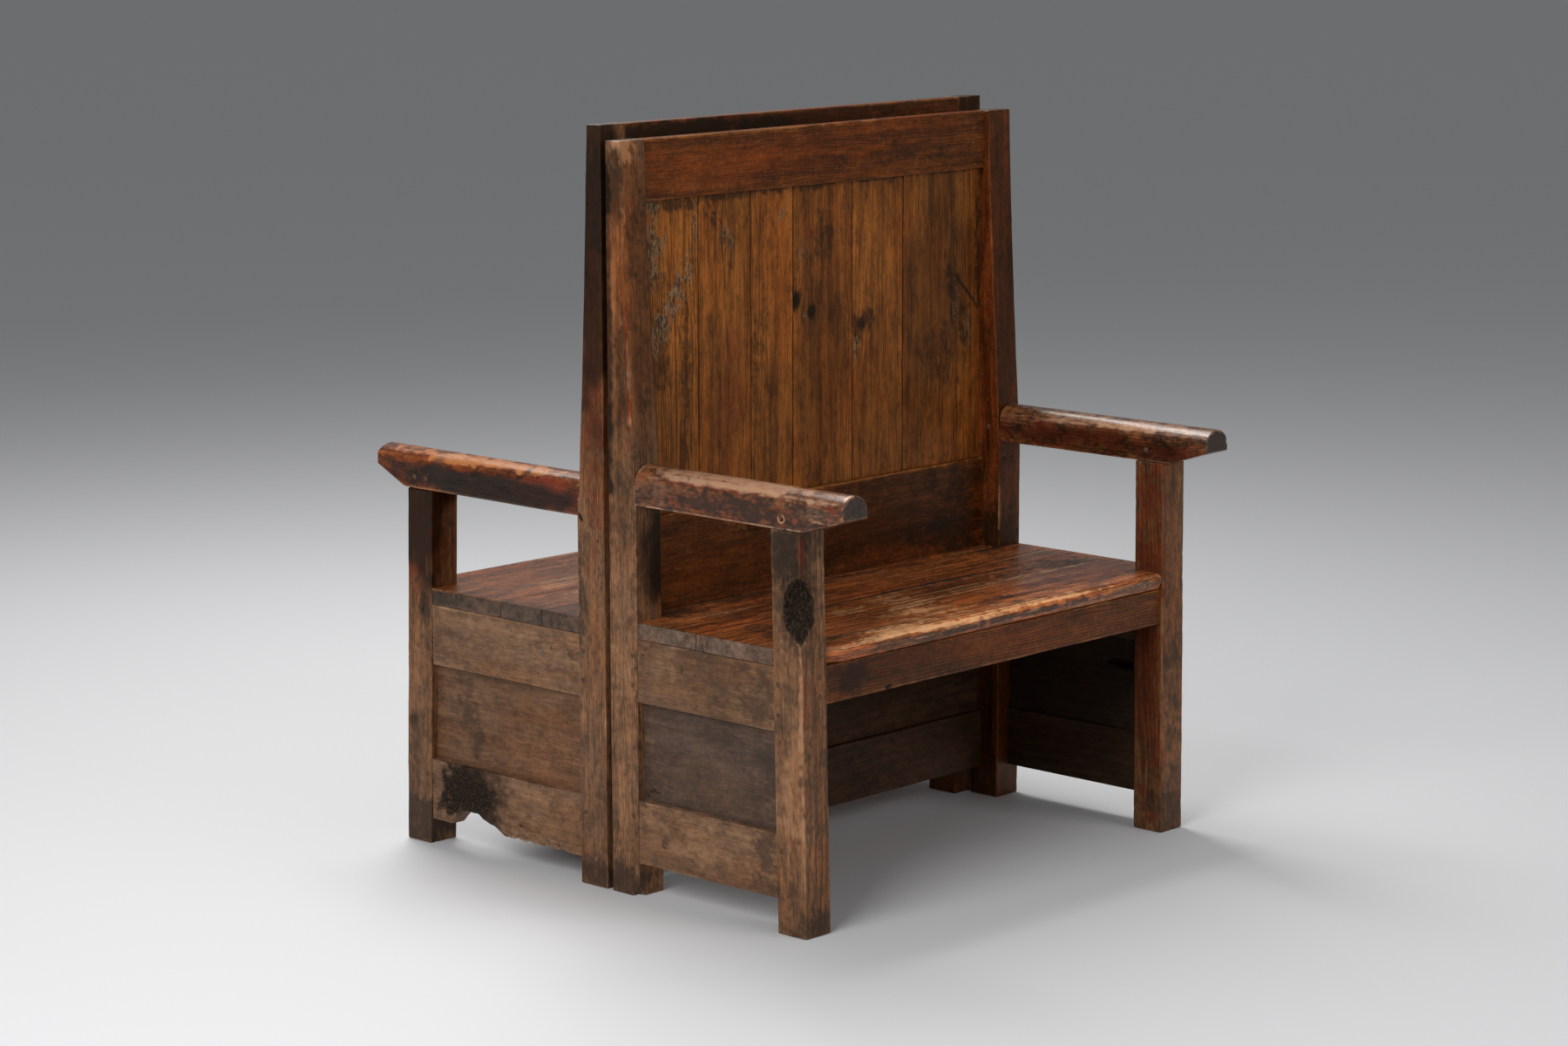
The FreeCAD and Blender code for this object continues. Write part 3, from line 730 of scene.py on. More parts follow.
class OakShaders:
    """The effects that every oak finish shares, each built once as a group."""

    _made: dict[str, bpy.types.NodeTree] = {}

    @classmethod
    def grain(cls) -> bpy.types.NodeTree:
        """Oak cut from a round tree: rings, streaks and open pores."""
        if "grain" in cls._made:
            return cls._made["grain"]
        net, given, out = new_group(
            "oak grain",
            {"Grain": Socket.VECTOR, "Early Wood": Socket.COLOUR, "Late Wood": Socket.COLOUR,
             "End Wood": Socket.COLOUR, "Ring Spacing": Socket.NUMBER, "Contrast": Socket.NUMBER,
             "Ends": Socket.NUMBER},
            {"Color": Socket.COLOUR, "Height": Socket.NUMBER})
        grain = given.outputs["Grain"]
        # Where in the tree the place lies, in a trunk that is never quite straight.
        stretched = net.scaled(grain, (1.7, 10.0, 10.0))
        stray = net.node("TexNoise", {"Vector": stretched, "Scale": 1.0, "Detail": 3.0})
        centred = {0: stray.outputs["Color"], 1: (0.5, 0.5, 0.5)}
        shift = net.node("VectorMath", centred, operation="SUBTRACT").outputs[0]
        strayed = {0: grain, 1: net.scaled(shift, (0.0, 0.026, 0.026))}
        bent = net.node("VectorMath", strayed, operation="ADD").outputs[0]
        across = net.scaled(bent, (0.0, 1.0, 1.0))
        heart = net.node("VectorMath", {0: across}, operation="LENGTH").outputs["Value"]
        # Growth rings, each darkening towards its outer edge.
        rings = net.math("DIVIDE", heart, given.outputs["Ring Spacing"])
        rings = net.math("ADD", rings, net.mist(bent, (0.8, 30.0, 30.0)))
        saw = net.math("FRACT", rings)
        late = net.span(saw, 0.25, 0.95)
        # Streaks, fibres and broad clouds of colour.
        streaks = net.mist(bent, (3.0, 85.0, 85.0), 3.0, 0.6)
        fibres = net.mist(bent, (22.0, 400.0, 400.0), 2.0, 0.6)
        clouds = net.mist(grain, (4.0, 14.0, 14.0), 2.0)
        tone = net.math("MULTIPLY_ADD", late, 0.34, net.math("MULTIPLY_ADD", streaks, 1.2, -0.87))
        tone = net.math("MULTIPLY_ADD", fibres, 1.1, tone)
        tone = net.math("ADD", tone, net.math("MULTIPLY_ADD", clouds, 0.6, -0.22))
        tone = net.math("MULTIPLY_ADD", net.math("SUBTRACT", tone, 0.5), given.outputs["Contrast"], 0.5)
        wood = net.mix(tone, given.outputs["Early Wood"], given.outputs["Late Wood"])
        # Pores, most open in the early wood, and pale rays.
        pores = net.span(net.mist(bent, (38.0, 900.0, 900.0), 1.0), 0.54, 0.72)
        open_pores = net.math("MULTIPLY", pores, net.math("MULTIPLY_ADD", saw, -0.6, 0.85))
        rays = net.span(net.mist(bent, (260.0, 900.0, 90.0), 1.0), 0.56, 0.7)
        wood = net.mix(net.math("MULTIPLY", rays, 0.1), wood, (0.42, 0.27, 0.14, 1.0))
        pore_floor = net.mix(0.75, wood, (0.012, 0.006, 0.004, 1.0))
        wood = net.mix(net.math("MULTIPLY", open_pores, 0.62), wood, pore_floor)
        # The ends of the timber show end grain instead.
        end_wood = given.outputs["End Wood"]
        end_wood = net.mix(net.span(streaks, 0.35, 0.7), end_wood, net.scaled(end_wood, (0.62, 0.6, 0.58)))
        wood = net.mix(net.math("MULTIPLY", given.outputs["Ends"], 0.88), wood, end_wood)
        height = net.math("MULTIPLY_ADD", open_pores, -0.55, net.math("MULTIPLY", streaks, 0.7))
        height = net.math("MULTIPLY_ADD", late, -0.22, height)
        net.plug(out.inputs["Color"], wood)
        net.plug(out.inputs["Height"], height)
        cls._made["grain"] = net.tree
        return net.tree

    @classmethod
    def age(cls) -> bpy.types.NodeTree:
        """What centuries leave on oak: wax and dirt, bare rubbed wood, old red stain, knots and burns, and
        the light and shade painted into the same columns.
        """
        if "age" in cls._made:
            return cls._made["age"]
        net, given, out = new_group(
            "old age",
            {"Color": Socket.COLOUR, "Grain": Socket.VECTOR, "Wear": Socket.VECTOR, "Stain": Socket.VECTOR,
             "Torn": Socket.NUMBER, "Warm": Socket.NUMBER, "Mottle": Socket.NUMBER,
             "Bare Wood": Socket.COLOUR, "Film": Socket.COLOUR, "Film Amount": Socket.NUMBER,
             "Gloss": Socket.NUMBER, "Dust": Socket.NUMBER, "Ridge Wear": Socket.NUMBER},
            {"Color": Socket.COLOUR, "Roughness": Socket.NUMBER, "Height": Socket.NUMBER})
        grain = given.outputs["Grain"]
        # Worn also holds painted highlights, grime painted shade, and tone painted light and shade.
        worn, grime_and_shade, char = net.node("SeparateXYZ", {0: given.outputs["Wear"]}).outputs
        red, knot, tone = net.node("SeparateXYZ", {0: given.outputs["Stain"]}).outputs
        torn = given.outputs["Torn"]
        # Three sizes of noise along the grain, which break up the layers below.
        fine = net.mist(grain, (50.0, 240.0, 240.0), 4.0, 0.65)
        middle = net.mist(grain, (8.0, 46.0, 46.0), 4.0, 0.6)
        broad = net.mist(grain, (3.5, 9.0, 9.0), 2.0)
        lift = net.math("MULTIPLY_ADD", broad, 0.9, 0.55)
        lifted = {0: given.outputs["Color"], "Scale": lift}
        colour = net.node("VectorMath", lifted, operation="SCALE").outputs[0]
        warmth = net.span(net.mist(grain, (2.4, 13.0, 13.0), 3.0), 0.42, 0.66, 0.0, 0.8)
        colour = net.mix(warmth, colour, net.scaled(colour, (1.0, 0.82, 0.66)))
        # Wax and dirt, thicker in blots and under the grime column, which also holds painted shade.
        mottle = net.mist(grain, (24.0, 34.0, 34.0), 4.0, 0.68)
        specks = net.mist(grain, (80.0, 130.0, 130.0), 3.0, 0.65)
        blots = net.math("MULTIPLY_ADD", mottle, 2.4, net.math("MULTIPLY_ADD", specks, 2.4, -2.4))
        film = net.math("ADD", net.math("MULTIPLY_ADD", middle, 1.0, -0.5), given.outputs["Film Amount"])
        film = net.math("MULTIPLY_ADD", blots, given.outputs["Mottle"], film)
        film = net.math("MULTIPLY_ADD", grime_and_shade, 1.0, film)
        film = net.math("ADD", film, net.math("MULTIPLY_ADD", fine, 1.0, -0.5))
        colour = net.mix(net.span(film, -0.1, 1.15, 0.0, 0.92), colour, given.outputs["Film"])
        # Pale dust.
        dust_cover = net.span(net.mist(grain, (26.0, 30.0, 30.0), 4.0, 0.7), 0.42, 0.68)
        dusty = net.math("MULTIPLY", dust_cover, given.outputs["Dust"])
        colour = net.mix(dusty, colour, seen(150, 118, 94))
        # Rests of an old red stain.
        red_cover = net.span(net.math("MULTIPLY_ADD", fine, 1.0, net.math("SUBTRACT", red, 0.95)), -0.35, 0.4)
        colour = net.mix(net.math("MULTIPLY", red_cover, 0.75), colour, seen(122, 44, 24))
        # Bare wood, first on the ridges of the grain; the worn column lays painted highlights the same way.
        ridges = net.math("MULTIPLY_ADD", net.mist(grain, (5.0, 170.0, 170.0), 3.0, 0.6), 2.0, -1.0)
        worn = net.math("MULTIPLY_ADD", ridges, given.outputs["Ridge Wear"], worn)
        bare = net.span(net.math("MULTIPLY_ADD", fine, 1.4, net.math("SUBTRACT", worn, 1.2)), -0.35, 0.5)
        colour = net.mix(net.math("MULTIPLY", bare, 0.85), colour, given.outputs["Bare Wood"])
        # Torn fibres.
        shred = net.mist(grain, (110.0, 300.0, 300.0), 3.0, 0.7)
        torn_wood = net.mix(net.span(shred, 0.4, 0.62), seen(34, 23, 14), seen(140, 114, 86))
        torn_cover = net.math("MULTIPLY_ADD", fine, 1.1, net.math("SUBTRACT", torn, 0.95))
        torn_cover = net.span(torn_cover, -0.35, 0.45)
        colour = net.mix(net.math("MULTIPLY", torn_cover, 0.8), colour, torn_wood)
        colour = net.mix(given.outputs["Warm"], colour, net.scaled(colour, (1.0, 0.72, 0.46)))
        # The tone of the whole timber and of the marks on it, painted light and shade among them.
        shade = net.math("MAXIMUM", net.math("ADD", tone, 1.0), 0.08)
        colour = net.node("VectorMath", {0: colour, "Scale": shade}, operation="SCALE").outputs[0]
        # Knots, and burns over them.
        knot_tone = net.math("MULTIPLY", knot, net.math("MULTIPLY_ADD", fine, 0.8, 0.5))
        colour = net.mix(knot_tone, colour, seen(26, 17, 13))
        grit = net.mist(grain, (190.0, 240.0, 240.0), 3.0, 0.65)
        soot = net.mix(net.span(grit, 0.42, 0.72), seen(13, 10, 9), seen(58, 48, 41))
        colour = net.mix(net.span(net.math("MULTIPLY_ADD", fine, 0.5, char), 0.25, 1.05), colour, soot)
        # Duller where there is dirt, painted shade, dust, a knot or a burn.
        rough = net.math("MULTIPLY_ADD", fine, 0.3, net.math("SUBTRACT", given.outputs["Gloss"], 0.15))
        rough = net.math("MULTIPLY_ADD", net.math("MAXIMUM", grime_and_shade, 0.0), 0.18, rough)
        rough = net.math("MULTIPLY_ADD", net.math("MAXIMUM", char, knot), 0.35, rough)
        rough = net.math("MULTIPLY_ADD", dusty, 0.25, rough)
        # Relief of the same layers.
        height = net.math("MULTIPLY_ADD", fine, 0.5, net.math("MULTIPLY", bare, -0.25))
        height = net.math("MULTIPLY_ADD", net.math("MULTIPLY", char, grit), 3.0, height)
        height = net.math("MULTIPLY_ADD", net.math("MULTIPLY", torn, shred), 3.0, height)
        net.plug(out.inputs["Color"], colour)
        net.plug(out.inputs["Roughness"], net.node("Clamp", {0: rough, 1: 0.2, 2: 0.95}).outputs[0])
        net.plug(out.inputs["Height"], height)
        cls._made["age"] = net.tree
        return net.tree

    @classmethod
    def worm(cls) -> bpy.types.NodeTree:
        """The flight holes of woodworm, sparse and round."""
        if "worm" in cls._made:
            return cls._made["worm"]
        net, given, out = new_group(
            "worm holes", {"Grain": Socket.VECTOR, "Density": Socket.NUMBER}, {"Mask": Socket.NUMBER})
        cells = net.node("TexVoronoi", {"Vector": given.outputs["Grain"], "Scale": 95.0, "Randomness": 1.0})
        chance = net.node("SeparateColor", {0: cells.outputs["Color"]}).outputs[0]
        lucky = net.math("GREATER_THAN", given.outputs["Density"], chance)
        hole = net.span(cells.outputs["Distance"], 0.13, 0.09)
        net.plug(out.inputs["Mask"], net.math("MULTIPLY", lucky, hole))
        cls._made["worm"] = net.tree
        return net.tree


@dataclass(frozen=True)
class OakFinish:
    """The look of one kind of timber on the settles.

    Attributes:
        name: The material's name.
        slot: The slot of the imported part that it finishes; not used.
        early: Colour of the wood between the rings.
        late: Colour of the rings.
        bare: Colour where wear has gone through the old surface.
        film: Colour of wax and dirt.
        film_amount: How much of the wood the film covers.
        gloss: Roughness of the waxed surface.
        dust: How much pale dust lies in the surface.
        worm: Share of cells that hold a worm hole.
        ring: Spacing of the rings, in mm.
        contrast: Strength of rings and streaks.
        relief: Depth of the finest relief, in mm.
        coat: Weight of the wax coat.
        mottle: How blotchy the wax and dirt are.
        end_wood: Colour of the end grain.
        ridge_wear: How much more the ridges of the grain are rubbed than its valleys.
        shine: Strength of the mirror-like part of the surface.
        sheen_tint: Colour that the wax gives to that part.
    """

    name: str
    slot: str
    early: Colour
    late: Colour
    bare: Colour
    film: Colour
    film_amount: float = 0.3
    gloss: float = 0.45
    dust: float = 0.0
    worm: float = 0.05
    ring: float = 3.4
    contrast: float = 1.0
    relief: float = 0.5
    coat: float = 0.0
    mottle: float = 0.6
    end_wood: Colour = seen(98, 86, 76)
    ridge_wear: float = 0.15
    shine: float = 0.3
    sheen_tint: Colour = (1.0, 0.66, 0.42, 1.0)

    def material(self) -> bpy.types.Material:
        """The finish as a material, made at its first use."""
        made = bpy.data.materials.get(self.name)
        if made is not None:
            return made
        made = bpy.data.materials.new(self.name)
        made.use_nodes = True
        net = Net(made.node_tree)
        grain = net.node("Attribute", attribute_name="grain").outputs["Vector"]
        # The wear and stain attributes carry painted light and shade as well as the marks.
        wear = net.node("Attribute", attribute_name="wear").outputs["Vector"]
        stain = net.node("Attribute", attribute_name="stain").outputs["Vector"]
        broken = net.node("Attribute", attribute_name="broken").outputs["Vector"]
        ends, torn, warm = net.node("SeparateXYZ", {0: broken}).outputs
        wood = net.node("Group", node_tree=OakShaders.grain())
        for title, value in {"Grain": grain, "Early Wood": self.early, "Late Wood": self.late, "Ends": ends,
                             "End Wood": self.end_wood, "Ring Spacing": self.ring * MM,
                             "Contrast": self.contrast}.items():
            net.plug(wood.inputs[title], value)
        age = net.node("Group", node_tree=OakShaders.age())
        ridge_wear = net.math("MULTIPLY_ADD", ends, -self.ridge_wear, self.ridge_wear)
        for title, value in {"Color": wood.outputs["Color"], "Grain": grain, "Wear": wear, "Stain": stain,
                             "Torn": torn, "Warm": warm, "Mottle": self.mottle, "Bare Wood": self.bare,
                             "Film": self.film, "Film Amount": self.film_amount,
                             "Gloss": self.gloss, "Dust": self.dust, "Ridge Wear": ridge_wear}.items():
            net.plug(age.inputs[title], value)
        worm = net.node("Group", node_tree=OakShaders.worm())
        net.plug(worm.inputs["Grain"], grain)
        net.plug(worm.inputs["Density"], self.worm)
        holes = worm.outputs["Mask"]
        colour = net.mix(holes, age.outputs["Color"], (0.008, 0.006, 0.005, 1.0))
        height = net.math("ADD", wood.outputs["Height"], age.outputs["Height"])
        height = net.math("MULTIPLY_ADD", holes, -2.5, height)
        bump = net.node("Bump", {"Strength": 0.7, "Distance": self.relief * MM, "Height": height})
        surface = net.node("BsdfPrincipled", {
            "Base Color": colour, "Roughness": age.outputs["Roughness"], "Normal": bump.outputs["Normal"],
            "Coat Weight": self.coat, "Coat Roughness": 0.28, "Specular IOR Level": self.shine,
            "Specular Tint": self.sheen_tint})
        output = net.node("OutputMaterial", {"Surface": surface.outputs[0]})
        output.is_active_output = True
        return made


FRAME_OAK = OakFinish(
    name="frame oak", slot="frame_oak", early=seen(150, 106, 72), late=seen(84, 54, 36),
    bare=seen(166, 124, 92), film=seen(50, 39, 33), film_amount=0.42, gloss=0.42, dust=0.08,
    worm=0.12, contrast=1.4, mottle=0.75)
DARK_FRAME_OAK = OakFinish(
    name="dark frame oak", slot="frame_oak", early=seen(120, 62, 26), late=seen(58, 27, 9),
    bare=seen(160, 112, 74), film=seen(32, 17, 8), film_amount=0.35, gloss=0.4, worm=0.04,
    contrast=1.3, sheen_tint=(1.0, 0.6, 0.34, 1.0))
ARM_OAK = OakFinish(
    name="arm oak", slot="frame_oak", early=seen(150, 96, 60), late=seen(82, 44, 26),
    bare=seen(192, 146, 114), film=seen(42, 28, 23), film_amount=0.52, gloss=0.3, worm=0.02,
    contrast=1.2, coat=0.15, mottle=1.4, shine=0.5, end_wood=seen(52, 40, 34),
    sheen_tint=(1.0, 0.84, 0.72, 1.0))
FAR_ARM_OAK = OakFinish(
    name="far arm oak", slot="frame_oak", early=seen(158, 84, 36), late=seen(80, 30, 11),
    bare=seen(186, 118, 66), film=seen(31, 14, 9), film_amount=0.5, gloss=0.28, worm=0.02,
    contrast=1.2, coat=0.15, mottle=1.0, shine=0.5, end_wood=seen(52, 36, 28),
    sheen_tint=(1.0, 0.7, 0.52, 1.0))
RAIL_OAK = OakFinish(
    name="end rail oak", slot="rail_oak", early=seen(146, 110, 82), late=seen(98, 70, 52),
    bare=seen(164, 130, 100), film=seen(72, 54, 43), film_amount=0.42, gloss=0.54, dust=0.1,
    worm=0.34, contrast=1.1, mottle=0.8)
BACK_RAIL_OAK = OakFinish(
    name="back rail oak", slot="rail_oak", early=seen(128, 64, 18), late=seen(56, 25, 5),
    bare=seen(160, 100, 50), film=seen(34, 17, 7), film_amount=0.3, gloss=0.38, worm=0.02,
    contrast=1.5)
BOARD_OAK = OakFinish(
    name="back board oak", slot="board_oak", early=seen(168, 100, 38), late=seen(78, 38, 8),
    bare=seen(176, 112, 50), film=seen(46, 25, 10), film_amount=0.24, gloss=0.42, worm=0.02,
    contrast=1.5)
SEAT_OAK = OakFinish(
    name="seat oak", slot="seat_oak", early=seen(192, 106, 50), late=seen(84, 38, 18),
    bare=seen(210, 158, 110), film=seen(48, 30, 21), film_amount=0.36, gloss=0.3, worm=0.03,
    contrast=2.1, mottle=0.8, relief=1.2, ridge_wear=1.5, shine=0.5,
    sheen_tint=(1.0, 0.82, 0.66, 1.0))
SHADED_RAIL_OAK = OakFinish(
    name="shaded rail oak", slot="rail_oak", early=seen(112, 80, 57), late=seen(62, 43, 31),
    bare=seen(130, 98, 72), film=seen(38, 28, 21), film_amount=0.4, gloss=0.5, worm=0.04)
SHADED_BOARD_OAK = replace(SHADED_RAIL_OAK, name="shaded board oak", slot="board_oak")
PANEL_OAK = OakFinish(
    name="end panel oak", slot="panel_oak", early=seen(96, 76, 65), late=seen(62, 49, 42),
    bare=seen(120, 94, 74), film=seen(50, 41, 38), film_amount=0.4, gloss=0.46, dust=0.05, worm=0.06,
    contrast=1.1)
WARM_PANEL_OAK = OakFinish(
    name="warm end panel oak", slot="panel_oak", early=seen(128, 96, 72), late=seen(86, 60, 43),
    bare=seen(140, 104, 78), film=seen(58, 42, 34), film_amount=0.32, gloss=0.46, dust=0.05, worm=0.1,
    contrast=1.1)
PEG_OAK = OakFinish(
    name="peg oak", slot="peg_oak", early=seen(126, 94, 68), late=seen(82, 57, 40),
    bare=seen(150, 116, 86), film=seen(50, 36, 28), film_amount=0.3, gloss=0.6, worm=0.0, mottle=0.3)


@dataclass(frozen=True)
class ArmShape:
    """How an arm differs from a plain bar.

    Attributes:
        crown: How far its middle stands above its sides, in mm.
        nose_rise: How far the underside rises towards the nose, in mm.
        corner_ahead: How far ahead of the leg that rise begins, in mm.
    """

    crown: float
    nose_rise: float
    corner_ahead: float = 8.0


def near_upright_marks() -> Marks:
    """Marks on the posts and legs of the settle that faces -Y."""
    return {
        "front_leg_left": [
            Patch(GRIME_AND_SHADE, (0, 380, 610), (60, 60, 60), 0.7),
            Patch(TONE, (0, 390, 570), (60, 60, 120), -0.4),
            Patch(WORN, (0, 413, 350), (6, 7, 110), 0.6, 0.5, 10.0),
            Patch(WORN, (0, 418, 170), (7, 6, 90), 0.4, 0.7, 10.0),
            Patch(TONE, (0, 400, 600), (70, 60, 60), -0.2, 0.4, 30.0),
            Patch(WORN, (0, 395, 250), (6, 30, 120), 0.3, 0.9, 18.0),
            Patch(RED, (6, 411, 600), (9, 7, 40), 1.2, 0.5, 6.0),
            Patch(RED, (4, 411, 600), (7, 7, 30), 0.6, 0.5, 6.0),
            Patch(RED, (7, 417, 370), (4, 5, 80), 0.9, 0.6, 6.0),
            Patch(RED, (6, 421, 230), (4, 5, 60), 0.6, 0.7, 6.0),
            Patch(WORN, (0, 380, 180), (6, 40, 120), 0.3, 0.9, 18.0),
            Patch(GRIME_AND_SHADE, (30, 424, 20), (60, 50, 26), 0.5),
            Patch(GRIME_AND_SHADE, (58, 400, 330), (10, 60, 320), 0.35),
            Patch(GRIME_AND_SHADE, (0, 400, 512), (46, 46, 66), 0.35, 0.5, 8.0),
            Hollow((-9, 419, 511), (44, 44, 55), (1, -1, 0), 0.09, 9.0, CHAR, 1.2),
            Patch(TORN, (3, 396, 556), (6, 9, 12), 0.7, 0.6, 5.0),
            Patch(TORN, (6, 412, 462), (10, 10, 10), 1.1, 0.5, 5.0),
            Patch(TONE, (0, 420, 500), (60, 60, 90), -0.2, 0.6, 20.0),
            Gouge((0, 372, 540), (0, 378, 560), 3.0, 2.0, CHAR, 0.7),
            Gouge((0, 400, 300), (0, 404, 120), 1.2, 0.6, GRIME_AND_SHADE, 0.5, 3.0),
            Gouge((40, 424, 150), (44, 424, 40), 1.4, 0.8, GRIME_AND_SHADE, 0.7, 2.5),
        ],
        "front_leg_right": [
            Patch(TONE, (882, 390, 400), (12, 60, 420), -0.34, 0.3, 60.0),
            Patch(WARM, (882, 390, 400), (90, 90, 700), 0.5, 0.3, 60.0),
            Patch(RED, (882, 390, 400), (12, 60, 420), 0.5, 0.9, 24.0),
            Patch(WORN, (882, 418, 300), (10, 12, 160), 0.4, 0.8, 12.0),
            Patch(GRIME_AND_SHADE, (900, 424, 30), (60, 60, 50), 0.45),
            Patch(GRIME_AND_SHADE, (910, 424, 250), (30, 14, 150), 0.35, 0.9, 12.0),
        ],
        "rear_post_left": [
            # A painted highlight: the pale band of light on the post's side face.
            Patch(WORN, (0, 16, 985), (8, 11, 76), 0.55, 0.4, 24.0),
            Patch(WARM, (30, 30, 960), (60, 60, 330), 1.0, 0.2, 60.0),
            Patch(WORN, (10, 32, 1190), (26, 26, 34), 0.85, 0.7, 12.0),
            Patch(WORN, (4, 40, 1120), (8, 8, 120), 0.7, 0.7, 10.0),
            Patch(RED, (2, 44, 930), (4, 6, 110), 0.85, 0.6, 6.0),
            Patch(RED, (2, 48, 780), (4, 6, 90), 0.7, 0.7, 6.0),
            Patch(WORN, (3, 47, 860), (6, 6, 160), 0.6, 0.7, 8.0),
            Patch(WORN, (0, 30, 420), (8, 34, 120), 0.42, 0.8, 22.0),
            Patch(WORN, (0, 30, 200), (8, 30, 90), 0.3, 0.8, 22.0),
            Patch(GRIME_AND_SHADE, (0, 30, 20), (60, 60, 36), 0.7),
            Hollow((-3, 64, -2), (20, 22, 18), (0.6, -1, 0.5), 0.3, 7.0, TORN, 0.9),
            # Painted shade: the shadow of the arm on the post's inner face.
            Patch(GRIME_AND_SHADE, (57, 45, 560), (20, 60, 110), 0.7),
            Patch(TONE, (48, 52, 860), (42, 60, 480), -0.4, 0.2, 40.0),
            Patch(TONE, (0, 20, 1130), (6, 40, 80), -0.6, 0.5, 24.0),
            Patch(TONE, (0, 2, 860), (8, 14, 320), -0.75, 0.5, 30.0),
            Patch(TONE, (0, 36, 860), (8, 20, 120), -0.4, 0.7, 20.0),
            Patch(TONE, (0, 30, 680), (6, 40, 160), -0.3, 0.6, 20.0),
            # Painted shade: the shadow of the arm on the post's front, darker and warmer, in this patch and
            # the next.
            Patch(TONE, (48, 62, 545), (60, 16, 110), -0.75, 0.2, 30.0),
            Patch(WARM, (57, 45, 500), (14, 60, 90), 0.8, 0.5, 30.0),
            Hollow((40, 36, 1163), (3, 4, 3), (0, -1, 0), 0.1, 4.0, CHAR, 0.9),
            Hollow((40, 38, 1132), (3, 4, 3), (0, -1, 0), 0.1, 4.0, CHAR, 0.9),
        ],
        "rear_post_right": [
            Patch(TONE, (900, 40, 860), (60, 60, 420), -0.34, 0.3, 60.0),
            Gouge((883, 61, 604), (925, 61, 598), 2.0, 2.6, CHAR, 0.9, 4.0),
            Patch(GRIME_AND_SHADE, (890, 55, 470), (50, 50, 60), 0.7),
            Patch(WORN, (886, 61, 520), (5, 5, 60), 0.5, 0.8, 8.0),
            Patch(TONE, (882, 40, 860), (7, 60, 420), 0.6, 0.4, 30.0),
            Patch(WARM, (882, 40, 860), (8, 60, 420), 0.8, 0.3, 40.0),
        ],
    }


